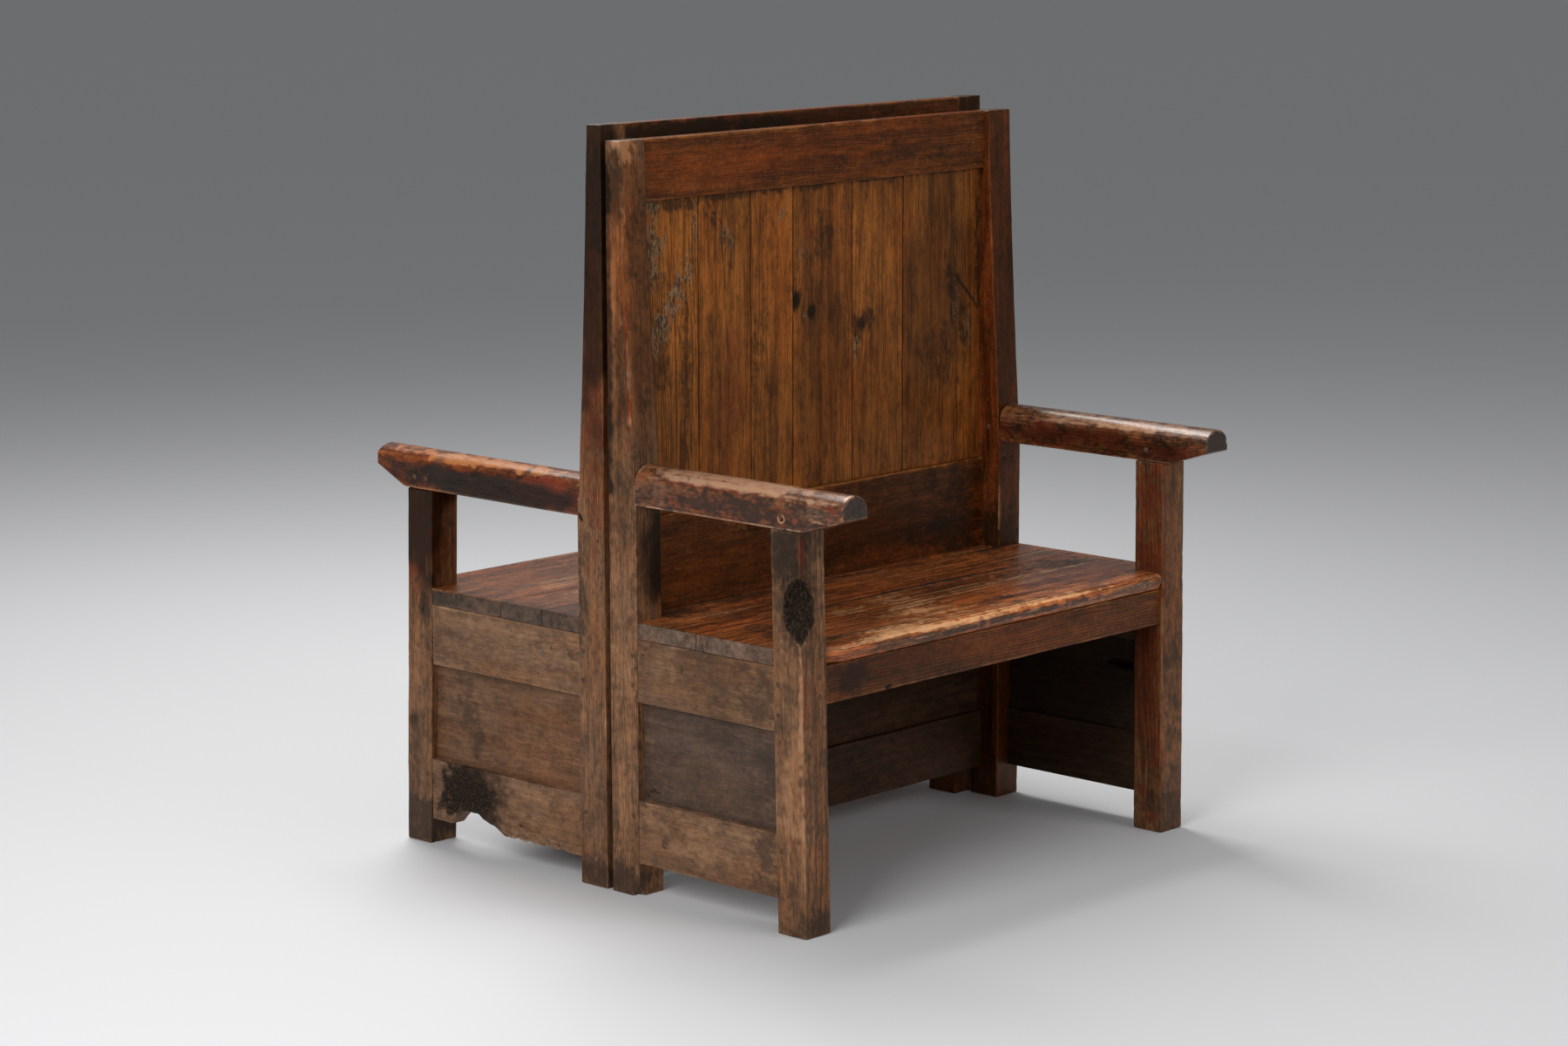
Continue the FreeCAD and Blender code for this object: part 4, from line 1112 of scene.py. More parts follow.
def near_back_marks() -> Marks:
    """Marks on the back of the settle that faces -Y."""
    return {
        "back_top_rail": [
            Patch(RED, (250, 24, 1150), (360, 20, 60), 0.24, 0.9, 30.0),
            Patch(WORN, (250, 24, 1200), (430, 12, 7), 0.4, 0.9, 16.0),
            Patch(TONE, (760, 24, 1150), (220, 20, 80), -0.16),
            Hollow((442, 26, 1123), (4, 5, 3), (0, -1, 0), 0.2, 4.0, CHAR, 1.0),
            Hollow((510, 26, 1120), (3, 4, 3), (0, -1, 0), 0.2, 4.0, CHAR, 1.0),
            Gouge((560, 24, 1172), (620, 24, 1150), 1.2, 0.4, WORN, 0.8, 4.0),
            Gouge((470, 24, 1140), (560, 24, 1122), 1.2, 0.3, WORN, 0.6, 6.0),
            Gouge((90, 24, 1158), (150, 24, 1150), 1.2, 0.3, WORN, 0.5, 6.0),
            Gouge((883, 24, 1116), (872, 24, 1105), 2.0, 1.0, WORN, 0.8, 3.0),
        ],
        "back_mid_rail": [
            Patch(TONE, (600, 24, 530), (330, 20, 100), -0.36),
            Patch(GRIME_AND_SHADE, (800, 24, 500), (110, 20, 130), 0.5, 0.8, 30.0),
            # A painted highlight: a thin pale line along the top arris.
            Patch(WORN, (480, 23, 600), (430, 8, 4), 0.7, 0.6, 14.0),
            Patch(WORN, (270, 24, 560), (40, 8, 26), 0.4, 0.9, 6.0),
            Patch(GRIME_AND_SHADE, (330, 24, 560), (90, 8, 18), 0.35, 0.9, 12.0),
            Gouge((240, 24, 590), (246, 24, 540), 1.5, 0.5, TORN, 1.0, 4.0),
            Gouge((258, 24, 586), (262, 24, 548), 1.5, 0.5, TORN, 1.0, 4.0),
            Gouge((520, 24, 575), (532, 24, 588), 1.6, 0.6, TORN, 1.0, 2.0),
            Knot((410, 24, 548), 13.0, 0.6),
            Hollow((205, 26, 575), (3, 4, 3), (0, -1, 0), 0.2, 4.0, CHAR, 1.0),
            Hollow((545, 26, 596), (5, 4, 3), (0, -1, 0), 0.2, 4.0, CHAR, 1.0),
        ],
        "back_board_1": [
            Patch(TORN, (92, 14, 1060), (30, 8, 56), 0.62, 1.0, 12.0),
            Patch(TORN, (88, 14, 1000), (20, 8, 50), 0.6, 1.0, 9.0),
            Patch(TORN, (170, 14, 985), (13, 8, 34), 0.7, 1.0, 8.0),
            Patch(TORN, (148, 14, 958), (15, 8, 32), 0.8, 1.0, 8.0),
            Patch(TORN, (128, 14, 930), (17, 8, 32), 0.8, 1.0, 8.0),
            Patch(TORN, (108, 14, 900), (18, 8, 34), 0.75, 1.0, 8.0),
            Patch(TORN, (92, 14, 868), (14, 8, 30), 0.55, 1.0, 8.0),
            Gouge((172, 14, 1000), (112, 14, 900), 5.0, 1.6, TORN, 0.5, 9.0),
            Patch(TORN, (186, 14, 1050), (10, 8, 44), 0.6, 1.0, 8.0),
            # Painted shade under the top rail.
            Patch(GRIME_AND_SHADE, (120, 14, 1094), (90, 8, 14), 0.7, 0.6, 12.0),
            Gouge((172, 14, 930), (166, 14, 905), 2.0, 1.0, GRIME_AND_SHADE, 1.0, 3.0),
            Gouge((70, 14, 1100), (64, 14, 860), 5.0, 1.2, CHAR, 0.7, 3.0),
            Patch(GRIME_AND_SHADE, (100, 14, 860), (30, 8, 80), 0.4, 0.9, 14.0),
            Hollow((100, 16, 806), (3, 4, 3), (0, -1, 0), 0.2, 4.0, CHAR, 1.0),
            Patch(GRIME_AND_SHADE, (160, 14, 840), (20, 8, 110), 0.35, 0.9, 10.0),
        ],
        "back_board_2": [
            Gouge((205, 14, 1100), (252, 14, 1044), 3.0, 1.4, CHAR, 0.8, 3.0),
            Gouge((202, 14, 1082), (232, 14, 1048), 6.0, 1.0, GRIME_AND_SHADE, 0.7, 4.0),
            Patch(TORN, (258, 14, 1022), (20, 8, 26), 0.5, 1.0, 7.0),
            # Painted shade under the top rail.
            Patch(GRIME_AND_SHADE, (250, 14, 1098), (90, 8, 12), 0.7, 0.6, 12.0),
            Patch(TONE, (250, 14, 720), (90, 8, 220), -0.24, 0.4, 60.0),
            Patch(RED, (270, 14, 760), (40, 8, 130), 0.4, 0.9, 30.0),
            Knot((250, 14, 1030), 10.0, 0.6),
            Knot((310, 14, 980), 5.0, 0.5),
            Gouge((266, 14, 985), (282, 14, 955), 1.4, 0.5, GRIME_AND_SHADE, 0.9, 2.0),
            Gouge((262, 14, 888), (300, 14, 892), 1.4, 0.5, GRIME_AND_SHADE, 0.8, 2.0),
            Patch(TONE, (240, 14, 950), (60, 8, 160), 0.12),
        ],
        "back_board_3": [
            Patch(TONE, (360, 14, 990), (40, 8, 160), 0.1),
            Patch(TONE, (360, 14, 700), (70, 8, 180), -0.2, 0.4, 60.0),
            # Painted shade under the top rail.
            Patch(GRIME_AND_SHADE, (360, 14, 1102), (70, 8, 10), 0.7, 0.6, 12.0),
            Patch(TORN, (386, 14, 1056), (14, 8, 14), 0.55, 1.0, 6.0),
            Patch(GRIME_AND_SHADE, (345, 14, 900), (14, 8, 60), 0.3, 0.9, 12.0),
            Patch(GRIME_AND_SHADE, (322, 14, 760), (12, 8, 110), 0.4, 0.9, 12.0),
        ],
        "back_board_4": [
            Patch(RED, (450, 14, 1040), (26, 8, 70), 0.35, 0.9, 16.0),
            Patch(GRIME_AND_SHADE, (480, 14, 1010), (30, 8, 60), 0.5, 0.8, 20.0),
            # Painted shade under the top rail.
            Patch(GRIME_AND_SHADE, (470, 14, 1104), (80, 8, 12), 0.8, 0.6, 12.0),
            Patch(TONE, (470, 14, 760), (80, 8, 260), -0.36, 0.4, 60.0),
            Patch(TORN, (436, 14, 992), (14, 8, 20), 0.5, 1.0, 6.0),
            Knot((418, 14, 913), 16.0, 1.4),
            Gouge((414, 14, 922), (420, 14, 905), 2.4, 2.0, CHAR, 1.0, 2.0),
            Knot((457, 14, 893), 12.0, 1.4),
            Gouge((450, 14, 888), (462, 14, 897), 2.4, 2.0, CHAR, 1.0, 2.0),
            Patch(TORN, (436, 14, 888), (22, 8, 9), 0.5, 0.9, 5.0),
            *[Gouge((470, 14, 962 + 13 * k), (551, 14, 1000 + 15 * k), 1.3, 0.35, TORN, 0.7, 3.0)
              for k in range(7)],
        ],
        "back_board_5": [
            Patch(GRIME_AND_SHADE, (592, 14, 868), (34, 8, 18), 0.7, 0.9, 9.0),
            Patch(GRIME_AND_SHADE, (572, 14, 850), (14, 8, 40), 0.6, 0.9, 9.0),
            Knot((580, 14, 858), 11.0, 0.9),
            Patch(TORN, (566, 14, 826), (10, 8, 26), 0.7, 1.0, 6.0),
            Gouge((562, 14, 850), (566, 14, 806), 2.4, 1.4, CHAR, 0.8, 3.0),
            # Painted shade under the top rail.
            Patch(GRIME_AND_SHADE, (620, 14, 1106), (80, 8, 12), 0.7, 0.6, 12.0),
            Patch(TONE, (620, 14, 700), (80, 8, 200), -0.24, 0.4, 60.0),
            Patch(TONE, (620, 14, 980), (50, 8, 150), 0.06),
            Gouge((568, 14, 913), (580, 14, 913), 1.4, 0.8, CHAR, 0.9, 1.0),
            Gouge((566, 14, 1040), (563, 14, 960), 2.4, 0.5, TORN, 0.7, 3.0),
        ],
        "back_board_6": [
            Patch(TONE, (770, 14, 860), (120, 8, 330), -0.34, 0.4, 60.0),
            # Painted shade under the top rail.
            Patch(GRIME_AND_SHADE, (780, 14, 1108), (110, 8, 12), 0.7, 0.6, 12.0),
            Patch(GRIME_AND_SHADE, (880, 14, 960), (12, 8, 180), 0.7, 0.7, 12.0),
            Gouge((823, 14, 919), (874, 14, 869), 3.4, 2.4, CHAR, 1.3, 1.0),
            Patch(GRIME_AND_SHADE, (812, 14, 890), (20, 8, 60), 0.7, 0.9, 14.0),
            Patch(GRIME_AND_SHADE, (846, 14, 840), (16, 8, 60), 0.5, 0.9, 14.0),
            Patch(TORN, (822, 14, 870), (12, 8, 46), 0.5, 1.0, 9.0),
            Patch(TORN, (852, 14, 830), (12, 8, 40), 0.5, 1.0, 9.0),
            Patch(GRIME_AND_SHADE, (770, 14, 800), (60, 8, 50), 0.35, 0.9, 20.0),
        ],
    }


def near_seat_marks() -> Marks:
    """Marks on the seat of the settle that faces -Y."""
    return {
        "seat_front_board": [
            # Painted light: the seat is lighter towards its front.
            Patch(TONE, (440, 390, 447), (480, 60, 24), 0.62, 0.6, 40.0),
            Patch(WORN, (400, 400, 447), (400, 40, 12), 0.3, 0.8, 16.0),
            Patch(WORN, (470, 420, 446), (400, 16, 9), 0.6, 0.9, 12.0),
            Patch(WORN, (230, 400, 447), (90, 26, 8), 0.5, 0.9, 10.0),
            # Darker under the lip of the nose, in this patch and the next.
            Patch(GRIME_AND_SHADE, (470, 426, 430), (430, 16, 9), 1.0, 0.5, 10.0),
            Patch(TONE, (470, 430, 426), (430, 16, 14), -0.3, 0.3, 30.0),
            Patch(WORN, (330, 424, 421), (280, 12, 3), 0.5, 0.7, 12.0),
            Patch(GRIME_AND_SHADE, (540, 392, 447), (22, 9, 8), 0.9, 0.7, 5.0),
            Patch(GRIME_AND_SHADE, (590, 398, 447), (16, 7, 8), 0.7, 0.7, 5.0),
            Patch(GRIME_AND_SHADE, (150, 372, 447), (80, 12, 8), 0.35, 0.9, 10.0),
            Hollow((822, 434, 430), (88, 20, 15), (0, -1, 0), 0.12, 10.0, TORN, 0.9),
            Hollow((735, 428, 440), (18, 10, 12), (0, -1, -0.5), 0.3, 6.0, GRIME_AND_SHADE, 0.6),
        ],
        "seat_middle_board": [
            # Painted light: lighter towards the front of the seat.
            Patch(TONE, (430, 330, 447), (400, 60, 20), 0.4, 0.8, 40.0),
            Patch(GRIME_AND_SHADE, (470, 191, 447), (420, 6, 5), 1.2, 0.5, 8.0),
            *[Patch(WORN, (430 - 16 * k, 210 + 42 * k, 447), (62, 32, 12), 0.46, 0.9, 9.0) for k in range(5)],
            Patch(WORN, (284, 245, 447), (50, 34, 12), 0.55, 0.9, 8.0),
            Gouge((542, 249, 447), (576, 251, 447), 3.2, 0.8, CHAR, 0.9, 4.0),
            Gouge((538, 354, 447), (566, 356, 447), 3.4, 0.8, CHAR, 0.8, 4.0),
            Gouge((700, 236, 447), (742, 232, 447), 2.6, 0.8, TORN, 0.9, 4.0),
            Patch(WORN, (340, 320, 447), (70, 40, 12), 0.35, 0.9, 12.0),
            Patch(WORN, (640, 270, 447), (190, 60, 12), 0.25, 0.9, 18.0),
            Patch(GRIME_AND_SHADE, (558, 249, 447), (22, 9, 12), 1.0, 0.8, 6.0),
            Patch(GRIME_AND_SHADE, (555, 354, 447), (20, 8, 12), 0.9, 0.8, 6.0),
            Gouge((0, 200, 447), (0, 206, 419), 2.2, 1.6, CHAR, 1.0, 1.5),
            Gouge((0, 206, 434), (0, 214, 434), 1.6, 1.2, CHAR, 1.0, 1.0),
            Gouge((0, 214, 434), (0, 214, 421), 1.6, 1.2, CHAR, 1.0, 1.0),
            Patch(TONE, (560, 240, 447), (150, 40, 12), -0.3, 0.9, 24.0),
            Patch(GRIME_AND_SHADE, (548, 340, 447), (26, 8, 8), 0.9, 0.7, 6.0),
            Patch(GRIME_AND_SHADE, (700, 240, 447), (80, 36, 8), 0.35, 0.9, 12.0),
            Patch(GRIME_AND_SHADE, (830, 230, 447), (70, 40, 8), 0.6, 0.9, 18.0),
            Patch(GRIME_AND_SHADE, (100, 260, 447), (50, 60, 8), 0.4, 0.9, 14.0),
            Patch(TORN, (800, 215, 447), (50, 14, 8), 0.4, 0.9, 5.0),
            Gouge((130, 250, 447), (330, 262, 447), 1.8, 0.9, GRIME_AND_SHADE, 0.7, 4.0),
            Gouge((560, 300, 447), (700, 292, 447), 1.6, 0.8, GRIME_AND_SHADE, 0.6, 4.0),
        ],
        "seat_rear_board": [
            Gouge((0, 190, 430), (0, 184, 420), 1.8, 1.4, CHAR, 0.9, 1.0),
            # Painted shade: a little darker towards the back of the seat.
            Patch(TONE, (470, 100, 447), (420, 90, 20), -0.06, 0.9, 40.0),
            Patch(GRIME_AND_SHADE, (470, 189, 447), (420, 6, 5), 1.2, 0.5, 8.0),
            Gouge((57, 188.6, 446.2), (885, 188.6, 446.2), 4.2, 2.0, CHAR, 1.2, 0.6),
            Patch(GRIME_AND_SHADE, (100, 60, 447), (60, 40, 8), 0.6, 0.8, 14.0),
            Patch(GRIME_AND_SHADE, (850, 60, 447), (60, 40, 8), 0.5, 0.8, 14.0),
            Patch(TORN, (140, 110, 447), (50, 20, 8), 0.5, 0.9, 6.0),
            Patch(TORN, (600, 90, 447), (40, 9, 8), 0.4, 0.9, 5.0),
            Patch(GRIME_AND_SHADE, (300, 40, 447), (240, 18, 8), 0.5, 0.8, 14.0),
        ],
        "seat_apron": [
            Patch(TONE, (200, 414, 390), (260, 20, 60), -0.36),
            Patch(GRIME_AND_SHADE, (110, 414, 395), (70, 12, 30), 0.5, 0.8, 20.0),
            Hollow((200, 417, 362), (9, 7, 8), (0, -1, 0.3), 0.3, 5.0, CHAR, 0.9),
            Patch(WORN, (420, 414, 359), (360, 8, 5), 0.4, 0.9, 10.0),
            Patch(RED, (420, 414, 390), (300, 8, 24), 0.2, 0.9, 30.0),
        ],
    }


def near_arm_marks() -> Marks:
    """Marks on the arms of the settle that faces -Y."""
    return {
        "arm_left": [
            Patch(WORN, (20, 260, 690), (34, 250, 14), 0.75, 0.35, 30.0),
            # A painted highlight along the upper arris, laid as bare wood.
            Patch(WORN, (4, 300, 684), (9, 210, 7), 0.5, 0.6, 16.0),
            Patch(RED, (-1, 200, 680), (6, 180, 4), 0.95, 0.5, 14.0),
            Patch(RED, (0, 60, 682), (10, 40, 8), 0.8, 0.7, 7.0),
            Patch(TONE, (-2, 250, 652), (8, 300, 26), -0.25, 0.3, 60.0),
            Patch(WARM, (-2, 250, 652), (8, 300, 26), 0.9, 0.3, 60.0),
            Patch(TONE, (0, 373, 649), (5, 26, 20), -0.35, 0.5, 8.0),
            Patch(GRIME_AND_SHADE, (0, 240, 654), (6, 120, 18), 0.6, 0.9, 16.0),
            Patch(GRIME_AND_SHADE, (0, 70, 656), (6, 40, 16), 0.45, 0.9, 9.0),
            Patch(WORN, (0, 440, 662), (8, 80, 20), 0.3, 1.0, 8.0),
            Patch(WORN, (0, 120, 660), (8, 60, 20), 0.3, 1.0, 10.0),
            Patch(WORN, (0, 260, 633), (6, 260, 3), 0.7, 0.8, 10.0),
            Patch(WORN, (0, 470, 652), (30, 40, 4), 0.5, 0.7, 8.0),
            Patch(RED, (0, 480, 674), (10, 26, 12), 0.7, 0.7, 7.0),
            Patch(CHAR, (30, 501, 672), (30, 4, 20), 0.75, 0.4, 6.0),
            Patch(WORN, (10, 495, 694), (30, 4, 8), 0.7, 0.5, 5.0),
            Patch(WORN, (0, 373, 649), (5, 10, 10), 1.2, 0.1, 3.0),
            Patch(TONE, (0, 373, 649), (5, 10, 10), 0.6, 0.1, 3.0),
            Hollow((-1, 373, 649), (4, 5, 5), (1, 0, 0), 0.05, 4.0, CHAR, 1.2),
            Gouge((0, 88, 676), (0, 110, 690), 1.5, 0.7, GRIME_AND_SHADE, 0.8, 2.0),
        ],
        "arm_right": [
            Patch(WORN, (900, 300, 690), (34, 230, 12), 0.5, 0.6, 20.0),
            Patch(WORN, (884, 330, 684), (8, 240, 6), 0.45, 0.7, 10.0),
            Patch(TONE, (882, 280, 652), (8, 300, 30), -0.55, 0.3, 60.0),
            Patch(WARM, (882, 280, 652), (8, 300, 30), 0.6, 0.3, 60.0),
            Patch(RED, (884, 240, 656), (8, 240, 30), 0.5, 0.9, 24.0),
            Patch(GRIME_AND_SHADE, (900, 508, 670), (40, 6, 40), 1.0, 0.4, 8.0),
            Patch(WORN, (883, 400, 633), (5, 160, 3), 0.4, 0.8, 10.0),
            Hollow((882, 384, 652), (5, 4, 4), (1, 0, 0), 0.05, 4.0, CHAR, 1.0),
        ],
    }


def near_end_marks() -> Marks:
    """Marks on the closed ends of the settle that faces -Y."""
    return {
        "side_upper_rail_left": [
            Patch(GRIME_AND_SHADE, (2, 335, 365), (6, 36, 60), 0.55, 0.8, 16.0),
            Patch(WORN, (2, 110, 390), (6, 60, 34), 0.35, 0.9, 14.0),
            Patch(TONE, (2, 250, 350), (6, 90, 60), -0.12, 0.9, 20.0),
            Gouge((2, 150, 396), (2, 162, 372), 2.2, 0.6, GRIME_AND_SHADE, 0.9, 3.0),
            Patch(GRIME_AND_SHADE, (2, 190, 410), (6, 160, 10), 0.35, 0.9, 12.0),
        ],
        "side_lower_rail_left": [
            Patch(GRIME_AND_SHADE, (2, 118, 98), (6, 12, 10), 1.0, 0.9, 6.0),
            Patch(GRIME_AND_SHADE, (2, 340, 120), (6, 26, 50), 0.75, 0.8, 14.0),
            Patch(GRIME_AND_SHADE, (2, 350, 66), (6, 60, 20), 0.45, 0.8, 12.0),
            Patch(WORN, (2, 200, 110), (6, 110, 40), 0.4, 0.9, 20.0),
            Patch(GRIME_AND_SHADE, (2, 200, 158), (6, 150, 6), 0.4, 0.9, 8.0),
        ],
        "side_panel_left": [
            Patch(GRIME_AND_SHADE, (14, 330, 240), (6, 50, 70), 0.35, 0.9, 18.0),
            Patch(WORN, (14, 74, 256), (6, 14, 9), 0.55, 0.9, 8.0),
            Patch(TORN, (14, 200, 200), (6, 110, 50), 0.2, 0.9, 14.0),
            Gouge((14, 66, 160), (14, 80, 178), 1.8, 1.6, CHAR, 1.0, 1.0),
            Gouge((14, 80, 178), (14, 96, 172), 1.8, 1.6, CHAR, 1.0, 1.0),
            Gouge((14, 96, 172), (14, 99, 158), 1.8, 1.6, CHAR, 1.0, 1.0),
        ],
        # Painted shade: the inner faces of the right end, under the arm and beside the seat, are darkened.
        "side_lower_rail_right": [Patch(TONE, (910, 200, 100), (60, 300, 200), -0.8, 0.2, 60.0)],
        "side_upper_rail_right": [Patch(TONE, (910, 200, 380), (60, 300, 200), -0.6, 0.2, 60.0)],
        "side_panel_right": [
            Patch(TONE, (910, 200, 250), (60, 300, 300), -0.7, 0.2, 60.0),
            Hollow((920, 315, 273), (14, 44, 8), (1, 0, 0), 0.15, 9.0, GRIME_AND_SHADE, 0.9),
        ],
    }


def near_marks() -> Marks:
    """What use and accident have left on the settle that faces -Y, with some painted light and shade, by
    piece, in its own frame in mm.
    """
    return {**near_upright_marks(), **near_back_marks(), **near_seat_marks(), **near_arm_marks(),
            **near_end_marks()}


def far_upright_marks() -> Marks:
    """Marks on the posts and legs of the settle that faces +Y."""
    return {
        "front_leg_left": [
            Patch(TONE, (0, 430, 560), (60, 70, 170), -0.8, 0.4, 50.0),
            Patch(WARM, (0, 430, 540), (60, 70, 180), 0.9, 0.4, 50.0),
            Patch(RED, (0, 440, 540), (40, 50, 110), 0.6, 0.9, 16.0),
            Gouge((0, 428, 424), (0, 436, 388), 3.4, 2.6, CHAR, 1.1, 3.0),
            Patch(GRIME_AND_SHADE, (0, 432, 405), (8, 14, 32), 0.8, 0.7, 8.0),
            Patch(TORN, (0, 444, 334), (6, 10, 14), 0.6, 0.8, 5.0),
            Gouge((0, 430, 344), (0, 450, 336), 1.6, 1.0, CHAR, 0.9, 2.0),
            Knot((0, 462, 208), 11.0, 0.8),
            Patch(WORN, (0, 422, 470), (4, 4, 40), 0.8, 0.7, 6.0),
            Patch(GRIME_AND_SHADE, (0, 450, 40), (60, 60, 60), 0.8, 0.6, 18.0),
            Hollow((10, 416, 0), (14, 10, 22), (0, 1, 0.4), 0.25, 7.0, GRIME_AND_SHADE, 0.8),
            Patch(WORN, (0, 460, 250), (6, 26, 110), 0.32, 0.9, 18.0),
        ],
        "rear_post_left": [
            Patch(TONE, (10, 20, 1040), (60, 60, 420), -0.86, 0.3, 60.0),
            Patch(WARM, (10, 20, 900), (60, 60, 420), 0.8, 0.3, 60.0),
            Patch(RED, (0, 20, 820), (20, 50, 280), 0.4, 0.9, 20.0),
            Patch(GRIME_AND_SHADE, (0, 20, 1100), (40, 50, 140), 0.6, 0.9, 20.0),
            Gouge((0, 60, 606), (0, 48, 592), 4.0, 3.2, CHAR, 1.1, 2.0),
            Gouge((0, 48, 592), (0, 14, 562), 2.2, 0.8, TORN, 0.9, 4.0),
            Patch(TORN, (0, 22, 576), (6, 16, 14), 0.55, 0.8, 6.0),
            Patch(GRIME_AND_SHADE, (0, 50, 450), (8, 16, 60), 0.5, 0.9, 14.0),
            Patch(WORN, (0, 26, 250), (8, 34, 200), 0.28, 0.9, 24.0),
            Patch(GRIME_AND_SHADE, (0, 30, 20), (60, 60, 40), 0.7),
        ],
        "rear_post_right": [
            Patch(TONE, (880, 20, 1100), (60, 50, 200), -0.35),
            Patch(GRIME_AND_SHADE, (880, 0, 1210), (60, 40, 30), 0.8),
        ],
        "front_leg_right": [Patch(WORN, (890, 474, 300), (30, 12, 220), 0.3, 0.9, 14.0)],
    }


def far_back_marks() -> Marks:
    """Marks on the back of the settle that faces +Y."""
    return {
        "back_top_rail": [
            Patch(TONE, (400, 1, 1190), (500, 8, 60), -0.4),
            Patch(GRIME_AND_SHADE, (200, 1, 1205), (300, 8, 26), 0.9, 0.8, 30.0),
            Patch(RED, (420, 12, 1223), (420, 20, 8), 0.7, 0.9, 30.0),
            Patch(WORN, (420, 1, 1223), (420, 6, 5), 0.4, 0.9, 18.0),
        ],
        "back_board_1": [
            Patch(TORN, (104, 14, 1010), (24, 8, 70), 0.6, 1.0, 10.0),
            Patch(GRIME_AND_SHADE, (90, 14, 780), (26, 8, 120), 0.4, 0.9, 14.0),
            Patch(TONE, (120, 14, 700), (90, 8, 160), -0.2, 0.5, 50.0),
        ],
        "back_board_2": [
            Knot((262, 14, 902), 11.0, 0.9),
            Gouge((256, 14, 908), (266, 14, 896), 2.2, 1.6, CHAR, 1.0, 2.0),
            Patch(TONE, (250, 14, 1000), (70, 8, 130), 0.1, 0.6, 40.0),
        ],
        "back_board_3": [
            Patch(GRIME_AND_SHADE, (380, 14, 820), (24, 8, 90), 0.45, 0.9, 14.0),
            Patch(TONE, (380, 14, 860), (70, 8, 300), -0.16, 0.5, 50.0),
        ],
        "back_board_4": [
            Knot((536, 14, 1016), 9.0, 0.8),
            Patch(TORN, (552, 14, 990), (14, 8, 34), 0.5, 1.0, 8.0),
            # Painted shade under the top rail.
            Patch(GRIME_AND_SHADE, (500, 14, 1100), (90, 8, 16), 0.6, 0.7, 12.0),
        ],
        "back_board_5": [
            Knot((640, 14, 748), 10.0, 0.9),
            Gouge((632, 14, 760), (646, 14, 700), 2.0, 1.4, CHAR, 0.8, 3.0),
            Patch(TONE, (650, 14, 820), (80, 8, 260), -0.2, 0.5, 50.0),
        ],
        "back_board_6": [
            Patch(GRIME_AND_SHADE, (800, 14, 1040), (40, 8, 90), 0.5, 0.9, 16.0),
            Patch(TONE, (790, 14, 860), (90, 8, 320), -0.24, 0.5, 60.0),
        ],
        "back_mid_rail": [
            Patch(TONE, (450, 24, 510), (420, 20, 90), -0.24, 0.6, 60.0),
            Patch(WORN, (450, 23, 591), (400, 8, 4), 0.6, 0.6, 14.0),
            Knot((300, 24, 520), 12.0, 0.6),
        ],
    }


def far_seat_marks() -> Marks:
    """Marks on the seat of the settle that faces +Y."""
    return {
        "seat_apron": [
            Patch(TONE, (300, 473, 380), (260, 20, 60), -0.24, 0.8, 40.0),
            Patch(WORN, (440, 473, 350), (380, 8, 5), 0.4, 0.9, 10.0),
        ],
        "seat_front_board": [
            Patch(WORN, (450, 476, 436), (400, 18, 8), 0.6, 0.9, 12.0),
            Patch(GRIME_AND_SHADE, (0, 380, 424), (6, 60, 20), 0.6, 0.7, 12.0),
            Patch(WORN, (200, 300, 438), (150, 60, 8), 0.35, 0.9, 16.0),
        ],
        "seat_middle_board": [
            Patch(WORN, (150, 190, 438), (120, 40, 8), 0.35, 0.9, 16.0)],
        "seat_rear_board": [
            Patch(GRIME_AND_SHADE, (60, 90, 438), (60, 40, 8), 0.5, 0.9, 16.0)],
    }


def far_arm_marks() -> Marks:
    """Marks on the arms of the settle that faces +Y."""
    return {
        "arm_left": [
            Patch(WORN, (16, 300, 660), (24, 250, 10), 0.85, 0.8, 18.0),
            Patch(RED, (0, 150, 630), (8, 150, 30), 0.7, 0.8, 20.0),
            Patch(TONE, (0, 250, 622), (8, 320, 34), -0.92, 0.3, 60.0),
            Patch(WARM, (0, 250, 622), (8, 320, 34), 0.6, 0.3, 60.0),
            Patch(GRIME_AND_SHADE, (0, 400, 626), (8, 90, 20), 0.6, 0.9, 16.0),
            Knot((0, 390, 641), 13.0, 0.8),
            Hollow((-1, 451, 620), (4, 5, 5), (1, 0, 0), 0.05, 4.0, CHAR, 1.0),
            Hollow((-1, 415, 627), (3, 3, 3), (1, 0, 0), 0.05, 4.0, CHAR, 1.0),
            Patch(WORN, (0, 420, 602), (8, 140, 4), 0.4, 0.9, 8.0),
            Patch(GRIME_AND_SHADE, (10, 360, 664), (30, 26, 8), 0.6, 0.9, 10.0),
        ],
    }


